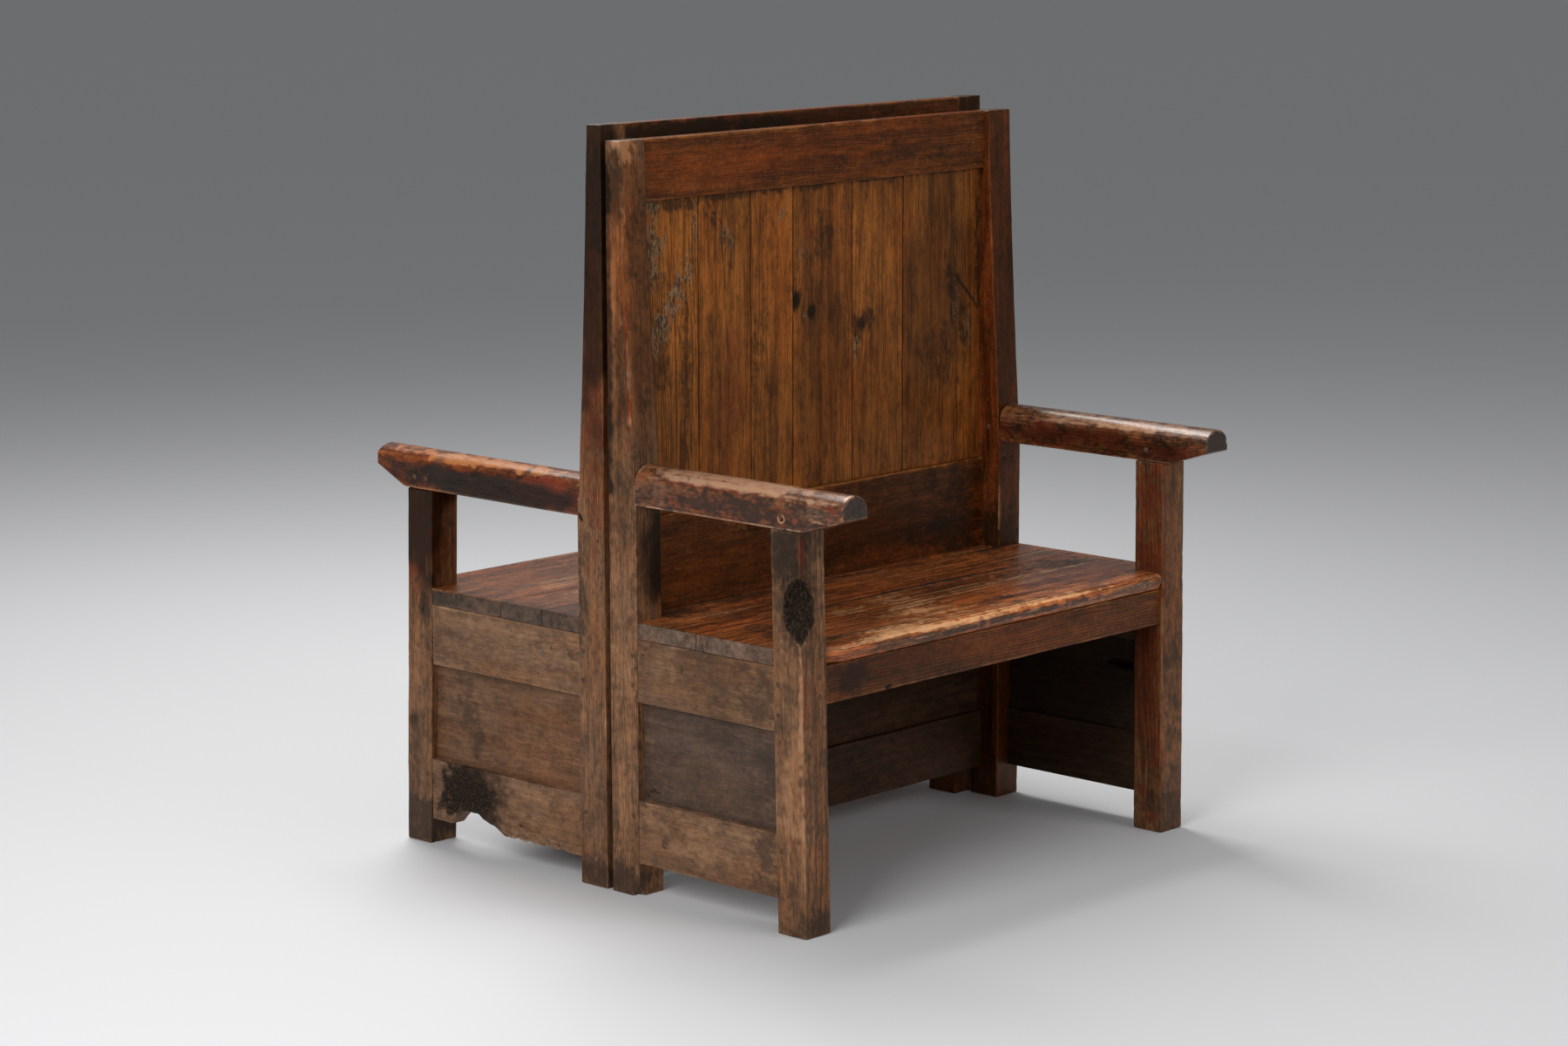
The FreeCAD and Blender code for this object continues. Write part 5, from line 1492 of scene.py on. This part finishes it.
def far_end_marks() -> Marks:
    """Marks on the closed ends of the settle that faces +Y."""
    return {
        "side_upper_rail_left": [
            Patch(GRIME_AND_SHADE, (2, 82, 372), (6, 10, 8), 0.8, 0.9, 6.0),
            Patch(WORN, (2, 300, 390), (6, 120, 34), 0.3, 0.9, 24.0),
            Patch(GRIME_AND_SHADE, (2, 400, 352), (6, 40, 40), 0.35, 0.9, 16.0),
        ],
        "side_lower_rail_left": [
            Patch(TONE, (2, 318, 100), (10, 112, 72), -0.85, 0.4, 20.0),
            Patch(CHAR, (2, 332, 104), (10, 80, 56), 0.95, 0.5, 14.0),
            Patch(CHAR, (2, 385, 74), (10, 40, 26), 0.6, 0.6, 10.0),
            Patch(GRIME_AND_SHADE, (2, 290, 100), (8, 40, 60), 0.5, 0.7, 18.0),
            *[Hollow((-2, 352 + 5 * (k % 3), 78 + 9 * k), (5, 34 - 4 * (k % 2), 3.4),
                     (1, 0, 0), 0.4, 6.0, CHAR, 0.7) for k in range(7)],
            Patch(TORN, (2, 180, 52), (8, 110, 14), 0.4, 0.8, 9.0),
            Patch(WORN, (2, 190, 44), (8, 66, 5), 0.9, 0.6, 7.0),
            *[Hollow((8, 232 - 17 * k - 5 * (k % 3), 40), (18, 11 + 4 * (k % 3), 4.5 + 2 * (k % 2)),
                     (0, 0, 1), 0.45, 7.0, TORN, 0.8) for k in range(8)],
            Gouge((2, 210, 72), (2, 190, 64), 2.6, 1.6, CHAR, 0.9, 3.0),
            Gouge((2, 128, 56), (2, 112, 50), 2.6, 1.8, CHAR, 0.9, 3.0),
            *[Gouge((2, 400 - 6 * k, 86 + 11 * k), (2, 330 + 4 * k, 76 + 12 * k), 1.6, 1.2, CHAR, 0.7, 4.0)
              for k in range(6)],
            Patch(WORN, (2, 200, 110), (6, 90, 40), 0.3, 0.9, 24.0),
        ],
        "side_panel_left": [
            Patch(GRIME_AND_SHADE, (14, 319, 200), (6, 20, 60), 0.5, 0.9, 14.0),
            Patch(GRIME_AND_SHADE, (14, 350, 240), (6, 30, 70), 0.35, 0.9, 16.0),
            Patch(TONE, (14, 150, 200), (6, 120, 80), 0.14),
            Patch(WARM, (14, 180, 210), (6, 180, 110), 0.45, 0.6, 40.0),
            Patch(RED, (14, 150, 170), (6, 100, 40), 0.15, 0.9, 30.0),
        ],
    }


def far_marks() -> Marks:
    """What use and accident have left on the settle that faces +Y, with a little painted shade, by piece, in
    its own frame in mm.
    """
    return {**far_upright_marks(), **far_back_marks(), **far_seat_marks(), **far_arm_marks(),
            **far_end_marks()}


@dataclass(frozen=True)
class Arch:
    """A worn arch in the underside of a rail, in mm.

    Attributes:
        rail: Name of the rail.
        rear: Where the arch starts.
        crest: Where it is highest.
        front: Where it ends.
        height: Height of its crest.
        swell: How far its sides bow out.
    """

    rail: str
    rear: float
    crest: float
    front: float
    height: float
    swell: float

    def bend(self, low: float, high: float) -> Bend:
        """A bend that lifts the underside of the rail to the arch.

        Args:
            low: Height of the rail's underside.
            high: Height of its top.

        Returns:
            The bend.
        """

        def lift(points: np.ndarray) -> np.ndarray:
            """Lift the lower part of the rail."""
            bent = points.copy()
            y = points[:, 1] / MM + 2.0 * noise(points, 0.02, 91)
            rising = np.clip((y - self.rear) / (self.crest - self.rear), 0.0, 1.0)
            falling = np.clip((self.front - y) / (self.front - self.crest), 0.0, 1.0)
            share = np.minimum(rising, falling)
            rise = self.height * share + 4.0 * self.swell * share * (1.0 - share)
            rise = rise * (1.0 + 0.12 * noise(points, 0.014, 92)) * MM
            left = (high - points[:, 2]) / (high - low)
            bent[:, 2] += rise * left
            return bent

        return lift


@dataclass
class Settle:
    """One settle, laid out from its left end, forward from its back and up from the floor.

    Attributes:
        prefix: What its nodes' names start with.
        forward: -1 if it faces -Y and 1 if it faces +Y.
        arm: The shape of its arms.
        marks: The marks of each piece, by its name.
        fine: The stretches of each piece that need a finer mesh.
        tones: Lighter or darker pieces, by name.
        arch: The worn arch under one of its rails, if it has one.
        post_depths: Depth of a rear post up to the arm, halfway from there to its top, and at the top, in mm.
        leg_depth: Depth of a front leg, in mm.
        board_gap: Gap between the back boards, in mm.
        seat_tongue: How far a seat board's solid reaches under the next one, in mm.
        nose_scoop: How far the seat's front edge is cut back below, in mm.
        panel_finish: The finish of the end panels.
        arm_finish: The finish of the arms.
        post_finish: The finishes of the left and the right rear post.
    """

    prefix: str
    forward: float
    arm: ArmShape
    marks: Marks = field(default_factory=dict)
    fine: dict[str, list[Fine]] = field(default_factory=dict)
    tones: dict[str, float] = field(default_factory=dict)
    arch: "Arch | None" = None
    post_depths: Triple = (61.0, 43.0, 31.0)
    leg_depth: float = 60.0
    board_gap: float = 0.8
    seat_tongue: float = 8.0
    nose_scoop: float = 6.5
    panel_finish: OakFinish = PANEL_OAK
    arm_finish: OakFinish = ARM_OAK
    post_finish: tuple[OakFinish, OakFinish] = (FRAME_OAK, DARK_FRAME_OAK)

    def __post_init__(self) -> None:
        """Find the settle's own corner of the frame."""
        low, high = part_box(self.prefix + "rear_post_left")
        self.left = low.x
        self.rear = high.y if self.forward < 0 else low.y
        self.under_arm = self.span("arm_left")[0][2]
        self.count = 0

    def span(self, name: str) -> tuple[np.ndarray, np.ndarray]:
        """The lowest and highest corners of a solid in the settle's own frame."""
        low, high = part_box(self.prefix + name)
        ys = sorted([(low.y - self.rear) * self.forward, (high.y - self.rear) * self.forward])
        return np.array([low.x - self.left, ys[0], low.z]), np.array([high.x - self.left, ys[1], high.z])

    def place(self, points: np.ndarray) -> np.ndarray:
        """Take places from the settle's frame to the frame of the pair."""
        set_down = points.copy()
        set_down[:, 0] += self.left
        set_down[:, 1] = self.rear + self.forward * points[:, 1]
        return set_down

    def timber(self, name: str, low: Iterable[float], high: Iterable[float], along: int, finish: OakFinish,
               **wear: object) -> None:
        """Make one timber of the settle.

        Args:
            name: The solid's name without the settle's prefix.
            low: Lowest corner in metres.
            high: Highest corner in metres.
            along: The axis of the grain.
            finish: Its finish.
            wear: Other fields of Timber.
        """
        self.count += 1
        first_seed = 200 if self.forward > 0 else 0
        seed = first_seed + self.count * 3
        piece = Timber(
            node=self.prefix + name, low=np.array(list(low), float), high=np.array(list(high), float),
            along=along, finish=finish, marks=self.marks.get(name, []), fine=self.fine.get(name, []),
            tone=self.tones.get(name, 0.0), seed=seed, **wear).make(self.place, self.forward < 0)
        LOG.info("%s: %d faces", piece.name, len(piece.data.polygons))

    def post_front(self, z: np.ndarray | float) -> np.ndarray:
        """How far forward a post reaches at a height: straight to the arm, then hollowed back to the top."""
        base, middle, top = mm(*self.post_depths)
        height = self.span("rear_post_left")[1][2]
        t = np.clip((np.asarray(z) - self.under_arm) / (height - self.under_arm), 0.0, 1.0)
        bow = 2.0 * (top + base - 2.0 * middle)
        return base + (top - base - bow) * t + bow * t * t

    def leg_rear(self, end: str, z: float) -> float:
        """Where the rear of a front leg is at a height: the legs lean back as they rise."""
        low, high = self.span("front_leg_" + end)
        rake = high[1] - low[1] - self.leg_depth * MM
        return high[1] - self.leg_depth * MM - rake * z / self.under_arm

    def build(self) -> None:
        """Make every timber of the settle."""
        self.uprights()
        self.end_frames()
        self.back()
        self.seat()
        self.arms()

    def uprights(self) -> None:
        """The rear posts and the front legs."""
        for end, finish in zip(("left", "right"), self.post_finish):
            low, high = self.span("rear_post_" + end)
            depth = self.post_depths[0] * MM

            def taper(points: np.ndarray) -> np.ndarray:
                """Hollow the front of the post back towards its top."""
                bent = points.copy()
                bent[:, 1] *= self.post_front(points[:, 2]) / depth
                return bent

            self.timber("rear_post_" + end, (low[0], 0.0, 0.0), (high[0], depth, high[2]), 2, finish,
                        arris=(2.2, 2.6, 2.2, 2.6), end_round=2.0, bends=[taper], edge_wear=0.5, band=5.0,
                        pith=(70.0, 45.0))
            low, high = self.span("front_leg_" + end)
            rake = high[1] - low[1] - self.leg_depth * MM
            foot_rear = high[1] - self.leg_depth * MM

            def lean(points: np.ndarray, rake: float = rake) -> np.ndarray:
                """Lean the leg back as it rises."""
                bent = points.copy()
                bent[:, 1] -= rake * points[:, 2] / self.under_arm
                return bent

            self.timber("front_leg_" + end, (low[0], foot_rear, 0.0), (high[0], high[1], self.under_arm), 2,
                        FRAME_OAK, arris=(2.4, 3.6, 2.4, 3.6), end_round=2.2, bends=[lean], edge_wear=0.55,
                        band=6.0, pith=(64.0, 52.0))

    def end_frames(self) -> None:
        """The rails and the panel between the leg and the post at each end."""
        post = self.post_depths[0] * MM
        for end in ("left", "right"):
            for rail in ("side_upper_rail_", "side_lower_rail_"):
                low, high = self.span(rail + end)
                front = self.leg_rear(end, high[2]) + 1.0 * MM
                arched = self.arch and rail + end == self.arch.rail
                bends = [self.arch.bend(low[2], high[2])] if arched else []
                self.timber(rail + end, (low[0], post - 1.0 * MM, low[2]), (high[0], front, high[2]), 1,
                            RAIL_OAK, arris=(1.3, 1.3, 1.3, 1.3), end_round=0.6, edge_wear=0.5,
                            pith=(40.0, 150.0), bends=bends)
            low, high = self.span("side_panel_" + end)
            hidden = 6 * MM
            self.timber("side_panel_" + end, (low[0], post - 4 * MM, low[2] + hidden),
                        (high[0], high[1], high[2] - hidden), 1, self.panel_finish,
                        arris=(1.0, 1.0, 1.0, 1.0), edge_wear=0.2, pith=(35.0, 190.0))

    def back(self) -> None:
        """The three back rails, the upright boards and the wide board below the seat."""
        left = self.span("rear_post_left")[1][0]
        right = self.span("rear_post_right")[0][0]
        for rail in ("back_top_rail", "back_mid_rail", "back_bottom_rail"):
            low, high = self.span(rail)
            finish = SHADED_RAIL_OAK if rail == "back_bottom_rail" else BACK_RAIL_OAK
            self.timber(rail, (left - 0.5 * MM, low[1], low[2]), (right + 0.5 * MM, high[1], high[2]), 0,
                        finish, arris=(1.4, 1.4, 1.6, 2.4), end_round=0.6, edge_wear=0.7, pith=(30.0, 170.0))
        low, high = self.span("back_lower_board")
        hidden = 4 * MM
        self.timber("back_lower_board", (left - hidden, low[1], low[2] + hidden),
                    (right + hidden, high[1], high[2] - hidden), 0, SHADED_BOARD_OAK,
                    arris=(1.0, 1.0, 1.0, 1.0), edge_wear=0.2, pith=(35.0, 220.0))
        stem = self.prefix + "back_board_"
        names = sorted(node[len(self.prefix):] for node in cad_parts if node.startswith(stem))
        starts = [self.span(name)[0] for name in names]
        ends = [start[0] - self.board_gap * MM for start in starts[1:]] + [self.span(names[-1])[1][0]]
        for order, name in enumerate(names):
            low, high = self.span(name)
            self.timber(name, (low[0], low[1], low[2] + hidden), (ends[order], high[1], high[2] - hidden), 2,
                        BOARD_OAK, arris=(0.8, 1.5, 0.8, 1.5), end_round=0.8, edge_wear=0.0, joint_dirt=1.0,
                        band=4.0, wave=0.9,
                        pith=(-150.0 + 61.0 * ((order * 5) % 6), 28.0 + 23.0 * (order % 3)))

    def seat(self) -> None:
        """The three seat boards, the rail under their front edge and the bearer behind."""
        posts = [self.span("rear_post_left"), self.span("rear_post_right")]
        legs = [self.span("front_leg_left"), self.span("front_leg_right")]
        past, slack, ceiling = 50 * MM, 0.3 * MM, 1.0
        for name in ("seat_rear_board", "seat_middle_board", "seat_front_board"):
            low, high = self.span(name)
            if name != "seat_front_board":
                high[1] -= self.seat_tongue * MM
            notches = []
            for post, leg, end in zip(posts, legs, ("left", "right")):
                left, right = (past, slack) if end == "left" else (slack, past)
                notches.append((np.array([post[0][0] - left, -past, 0.0]),
                                np.array([post[1][0] + right, post[1][1] + slack, ceiling])))
                rear = self.leg_rear(end, low[2]) - slack
                notches.append((np.array([leg[0][0] - left, rear, 0.0]),
                                np.array([leg[1][0] + right, ceiling, ceiling])))
            nose = name == "seat_front_board"
            edge_wear, joint_dirt, band = (0.5, 0.0, 7.0) if nose else (0.0, 1.0, 6.0)
            arris = (1.0, 1.2, 2.0, 11.0) if nose else (1.0, 1.4, 1.0, 1.4)
            bends = [self.nose_shape(low, high)] if nose else []
            self.timber(name, low, high, 0, SEAT_OAK, arris=arris, uneven=0.3 if nose else 0.5, end_round=1.6,
                        ridge=0.45, wave=0.9, band=band, edge_wear=edge_wear, joint_dirt=joint_dirt,
                        notches=notches, bends=bends, pith=(120.0, 38.0))
        low, high = self.span("seat_apron")
        left, right = self.span("front_leg_left")[1][0], self.span("front_leg_right")[0][0]
        self.timber("seat_apron", (left - 0.5 * MM, low[1], low[2]), (right + 0.5 * MM, high[1], high[2]), 0,
                    BACK_RAIL_OAK, arris=(1.5, 1.5, 2.6, 1.5), end_round=0.6, edge_wear=0.8,
                    pith=(40.0, 120.0))
        low, high = self.span("seat_bearer")
        self.timber("seat_bearer", low, high, 0, SHADED_RAIL_OAK, edge_wear=0.2)

    def nose_shape(self, low: np.ndarray, high: np.ndarray) -> Bend:
        """What use has made of the front of the seat.

        Args:
            low: Lowest corner of the front board.
            high: Its highest corner.

        Returns:
            A bend that scoops the nose out below and rubs it back beside the left leg.
        """
        leg = self.span("front_leg_left")[1][0]
        scoop, scoop_top, reach = self.nose_scoop * MM, 0.55, 16.0 * MM

        def bend(points: np.ndarray) -> np.ndarray:
            """Scoop and rub the nose."""
            bent = points.copy()
            front = smooth((points[:, 1] - high[1] + reach) / reach)
            share = (points[:, 2] - low[2]) / (high[2] - low[2])
            under = np.clip((scoop_top - share) / scoop_top, 0.0, 1.0)
            wander = 1.0 + 0.3 * noise(points, 0.12, 71)
            bent[:, 1] -= front * scoop * wander * np.sin(under * math.pi / 2)
            beside = np.clip(1.0 - (points[:, 0] - leg) / (48.0 * MM), 0.0, 1.0) ** 2
            bent[:, 1] -= front * beside * 15.0 * MM
            dip = smooth(1.0 - np.abs(points[:, 0] - 0.47) / 0.34)
            bent[:, 2] -= front * share * dip * 2.5 * MM
            return bent

        return bend

    def arms(self) -> None:
        """The arms: crowned on top, rubbed round, and cut back under their noses."""
        for end in ("left", "right"):
            low, high = self.span("arm_" + end)
            side_height = high[2] - low[2] - self.arm.crown * MM
            rear = float(self.post_front(low[2])) - 3 * MM
            corner = self.leg_rear(end, low[2]) + (self.leg_depth + self.arm.corner_ahead) * MM

            def shape(points: np.ndarray, low: np.ndarray = low, high: np.ndarray = high,
                      side_height: float = side_height, corner: float = corner) -> np.ndarray:
                """Raise the crown and the underside of the nose."""
                bent = points.copy()
                share = (points[:, 2] - low[2]) / side_height
                across = (points[:, 0] - low[0]) / (high[0] - low[0]) * 2.0 - 1.0
                rise = np.clip((points[:, 1] - corner) / (high[1] - corner), 0.0, 1.0)
                rise = rise * self.arm.nose_rise * MM
                bent[:, 2] += self.arm.crown * MM * (1.0 - across**2) * share + rise * (1.0 - share)
                return bent

            self.timber("arm_" + end, (low[0], rear, low[2]), (high[0], high[1], low[2] + side_height), 1,
                        self.arm_finish, arris=(2.4, 8.0, 2.4, 8.0), uneven=0.3, end_round=4.0,
                        bends=[shape], edge_wear=0.6, band=8.0, pith=(48.0, 40.0))


@dataclass
class Pegs:
    """The riven pegs of one settle, each standing a hair proud of the timber that it locks.

    Attributes:
        node: The solid of all the pegs.
        sides: How many sides each is hewn with.
        proud: How far the ends stand out beyond the solid's, in mm.
        seed: Picks how irregular they are.
    """

    node: str
    sides: int = 12
    proud: float = 0.7
    seed: int = 5

    def solids(self) -> list[tuple[np.ndarray, np.ndarray]]:
        """The box of each peg, found from the parts of the solid's mesh that hang together."""
        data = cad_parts[self.node].data
        places = np.empty(len(data.vertices) * 3)
        data.vertices.foreach_get("co", places)
        places = places.reshape(-1, 3)
        _, same = np.unique(np.round(places, 6), axis=0, return_inverse=True)
        group = np.arange(same.max() + 1)
        faces = [same.reshape(-1)[list(face.vertices)] for face in data.polygons]
        changed = True
        while changed:
            changed = False
            for face in faces:
                least = group[face].min()
                if (group[face] != least).any():
                    group[face] = least
                    changed = True
        label = group[same.reshape(-1)]
        return [(places[label == one].min(0), places[label == one].max(0)) for one in np.unique(label)]

    def build(self) -> None:
        """Make the pegs as one piece."""
        rng = np.random.default_rng(self.seed)
        points, faces, grain = [], [], []
        for low, high in self.solids():
            axis = int(np.argmax(high - low))
            first, second = (axis + 1) % 3, (axis + 2) % 3
            middle, half = (low + high) / 2, (high - low) / 2
            angles = np.arange(self.sides) * 2 * math.pi / self.sides + rng.uniform(0, 1)
            radii = half[first] * rng.uniform(0.86, 1.04, self.sides)
            start = len(points)
            reach = half[axis] + self.proud * MM * rng.uniform(0.8, 1.25)
            chamfer, tip = 0.3 * MM, 0.7
            rings = ((-reach, tip), (-reach + chamfer, 1.0), (reach - chamfer, 1.0), (reach, tip))
            for place, shrink in rings:
                for angle, radius in zip(angles, radii):
                    point = middle.copy()
                    point[axis] += place
                    point[first] += math.cos(angle) * radius * shrink
                    point[second] += math.sin(angle) * radius * shrink
                    points.append(point)
                    grain.append([point[axis] + start, math.cos(angle) * radius * shrink + 0.03,
                                  math.sin(angle) * radius * shrink])
            for ring in range(3):
                for side in range(self.sides):
                    a = start + ring * self.sides + side
                    b = start + ring * self.sides + (side + 1) % self.sides
                    faces.append((a, b, b + self.sides, a + self.sides))
            faces.append(tuple(start + side for side in reversed(range(self.sides))))
            faces.append(tuple(start + 3 * self.sides + side for side in range(self.sides)))
        data = bpy.data.meshes.new(self.node + "_oak")
        data.from_pydata([tuple(point) for point in points], [], faces)
        set_vectors(data, {
            "grain": np.array(grain),
            "wear": np.tile([0.1, 0.25, 0.0], (len(points), 1)),
            "stain": np.zeros((len(points), 3)),
            "broken": np.tile([0.3, 0.0, 0.0], (len(points), 1)),
        })
        data.materials.append(PEG_OAK.material())
        piece = link(self.node + "_oak", data)
        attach(piece, "root")
        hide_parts(self.node)
        LOG.info("%s: %d faces", piece.name, len(data.polygons))


@dataclass
class Studio:
    """The plain floor, the soft lamps and the camera.

    Attributes:
        eye: Where the camera stands.
        yaw: Its heading from +Y towards +X, in degrees.
        pitch: How far it looks down, in degrees.
        roll: How far it is turned about its own axis, in degrees.
        lens: Its focal length on a 36 mm sensor, in mm.
    """

    eye: Triple = (-4.70367, -4.37898, 1.68031)
    yaw: float = 46.81
    pitch: float = 10.12
    roll: float = -0.13
    lens: float = 89.79

    def camera(self) -> None:
        """Create the camera at the photograph's viewing angle."""
        yaw, pitch, roll = (math.radians(angle) for angle in (self.yaw, self.pitch, self.roll))
        ahead = Vector((math.sin(yaw) * math.cos(pitch), math.cos(yaw) * math.cos(pitch), -math.sin(pitch)))
        level = Vector((math.cos(yaw), -math.sin(yaw), 0.0))
        above = level.cross(ahead)
        right = level * math.cos(roll) + above * math.sin(roll)
        up = above * math.cos(roll) - level * math.sin(roll)
        data = bpy.data.cameras.new("camera")
        data.lens = self.lens
        data.sensor_width = 36.0
        data.sensor_fit = "HORIZONTAL"
        data.clip_end = 200.0
        camera = link("camera", data)
        turn = Matrix((right, up, -ahead)).transposed()
        camera.matrix_world = Matrix.Translation(self.eye) @ turn.to_4x4()
        bpy.context.scene.camera = camera

    def lamp(self, name: str, place: Triple, aim: Triple, size: float, power: float) -> None:
        """Hang a soft square lamp.

        Args:
            name: Its name.
            place: Where it hangs.
            aim: What it points at.
            size: Its side.
            power: Its power in watts.
        """
        data = bpy.data.lights.new(name, "AREA")
        data.size = size
        data.energy = power
        lamp = link(name, data)
        lamp.location = place
        lamp.rotation_euler = (Vector(aim) - Vector(place)).to_track_quat("-Z", "Y").to_euler()

    def floor(self) -> None:
        """Lay a wide pale floor."""
        half = 60.0
        data = bpy.data.meshes.new("floor")
        corners = [(-half, -half, 0.0), (half, -half, 0.0), (half, half, 0.0), (-half, half, 0.0)]
        data.from_pydata(corners, [], [(0, 1, 2, 3)])
        floor = link("floor", data)
        material = bpy.data.materials.new("pale floor")
        material.use_nodes = True
        net = Net(material.node_tree)
        surface = net.node("BsdfPrincipled", {"Base Color": (0.66, 0.66, 0.665, 1.0), "Roughness": 0.6})
        net.node("OutputMaterial", {"Surface": surface.outputs[0]})
        data.materials.append(material)

    def sky(self, strength: float) -> None:
        """Fill the room with even light."""
        world = bpy.data.worlds.new("room")
        world.use_nodes = True
        net = Net(world.node_tree)
        light = net.node("Background", {"Color": (0.96, 0.98, 1.0, 1.0), "Strength": strength})
        net.node("OutputWorld", {"Surface": light.outputs[0]})
        bpy.context.scene.world = world

    def build(self) -> None:
        """Set up floor, lamps, room light and camera."""
        self.floor()
        self.sky(0.22)
        self.lamp("key", (-3.9, -1.0, 2.7), (0.0, -0.1, 0.6), 2.4, 130.0)
        self.lamp("top", (0.5, 1.7, 3.6), (-0.1, -0.2, 0.5), 1.8, 120.0)
        self.lamp("fill", (0.6, -4.4, 2.6), (0.0, -0.2, 0.7), 2.2, 55.0)
        self.camera()
        bpy.context.scene.view_settings.view_transform = "Standard"


def near_settle() -> Settle:
    """The settle that faces -Y, nearer to the camera."""
    return Settle(
        "settle_a_", -1.0, ArmShape(crown=16.0, nose_rise=26.0), near_marks(),
        fine={
            "front_leg_left": [Fine(2, 450, 570, 2.5), Fine(0, 0, 40, 2.0), Fine(1, 380, 424, 2.0)],
            "back_board_1": [Fine(2, 840, 1100, 3.0)],
            "arm_left": [Fine(1, 360, 386, 1.2), Fine(2, 637, 661, 1.2)],
        },
        tones={
            "front_leg_right": -0.08, "rear_post_right": -0.18, "arm_left": -0.08, "arm_right": -0.1,
            "back_board_1": 0.08, "back_board_2": 0.08, "back_board_3": 0.06, "back_board_4": -0.02,
            # The lower board and the bottom rail, under the seat, are darker: painted shade.
            "back_board_6": -0.1, "back_mid_rail": -0.14, "back_lower_board": -0.45,
            "back_bottom_rail": -0.5, "seat_apron": -0.1, "side_upper_rail_left": -0.12,
        })


def far_settle() -> Settle:
    """The settle that faces +Y, behind the near one."""
    return Settle(
        "settle_b_", 1.0, ArmShape(crown=13.0, nose_rise=33.0), far_marks(),
        panel_finish=WARM_PANEL_OAK, arm_finish=FAR_ARM_OAK,
        arch=Arch("side_lower_rail_left", rear=243.0, crest=336.0, front=370.0, height=30.0, swell=5.0),
        fine={
            "side_lower_rail_left": [Fine(1, 50, 420, 2.5), Fine(2, 40, 90, 2.0)],
            "arm_left": [Fine(1, 405, 460, 1.5), Fine(2, 612, 634, 1.2)],
        },
        tones={
            "back_top_rail": -0.3, "arm_left": -0.1, "front_leg_left": -0.1, "seat_front_board": -0.34,
            "seat_middle_board": -0.34, "seat_rear_board": -0.34, "side_upper_rail_left": 0.1,
            "side_lower_rail_left": 0.04,
        })


def main() -> None:
    """Build both settles and the studio, and note the size of the result."""
    logging.basicConfig(level=logging.INFO, format="%(name)s %(message)s")
    near_settle().build()
    far_settle().build()
    Pegs("settle_a_pegs").build()
    Pegs("settle_b_pegs", seed=6).build()
    Studio().build()


if __name__ == "__main__":
    main()
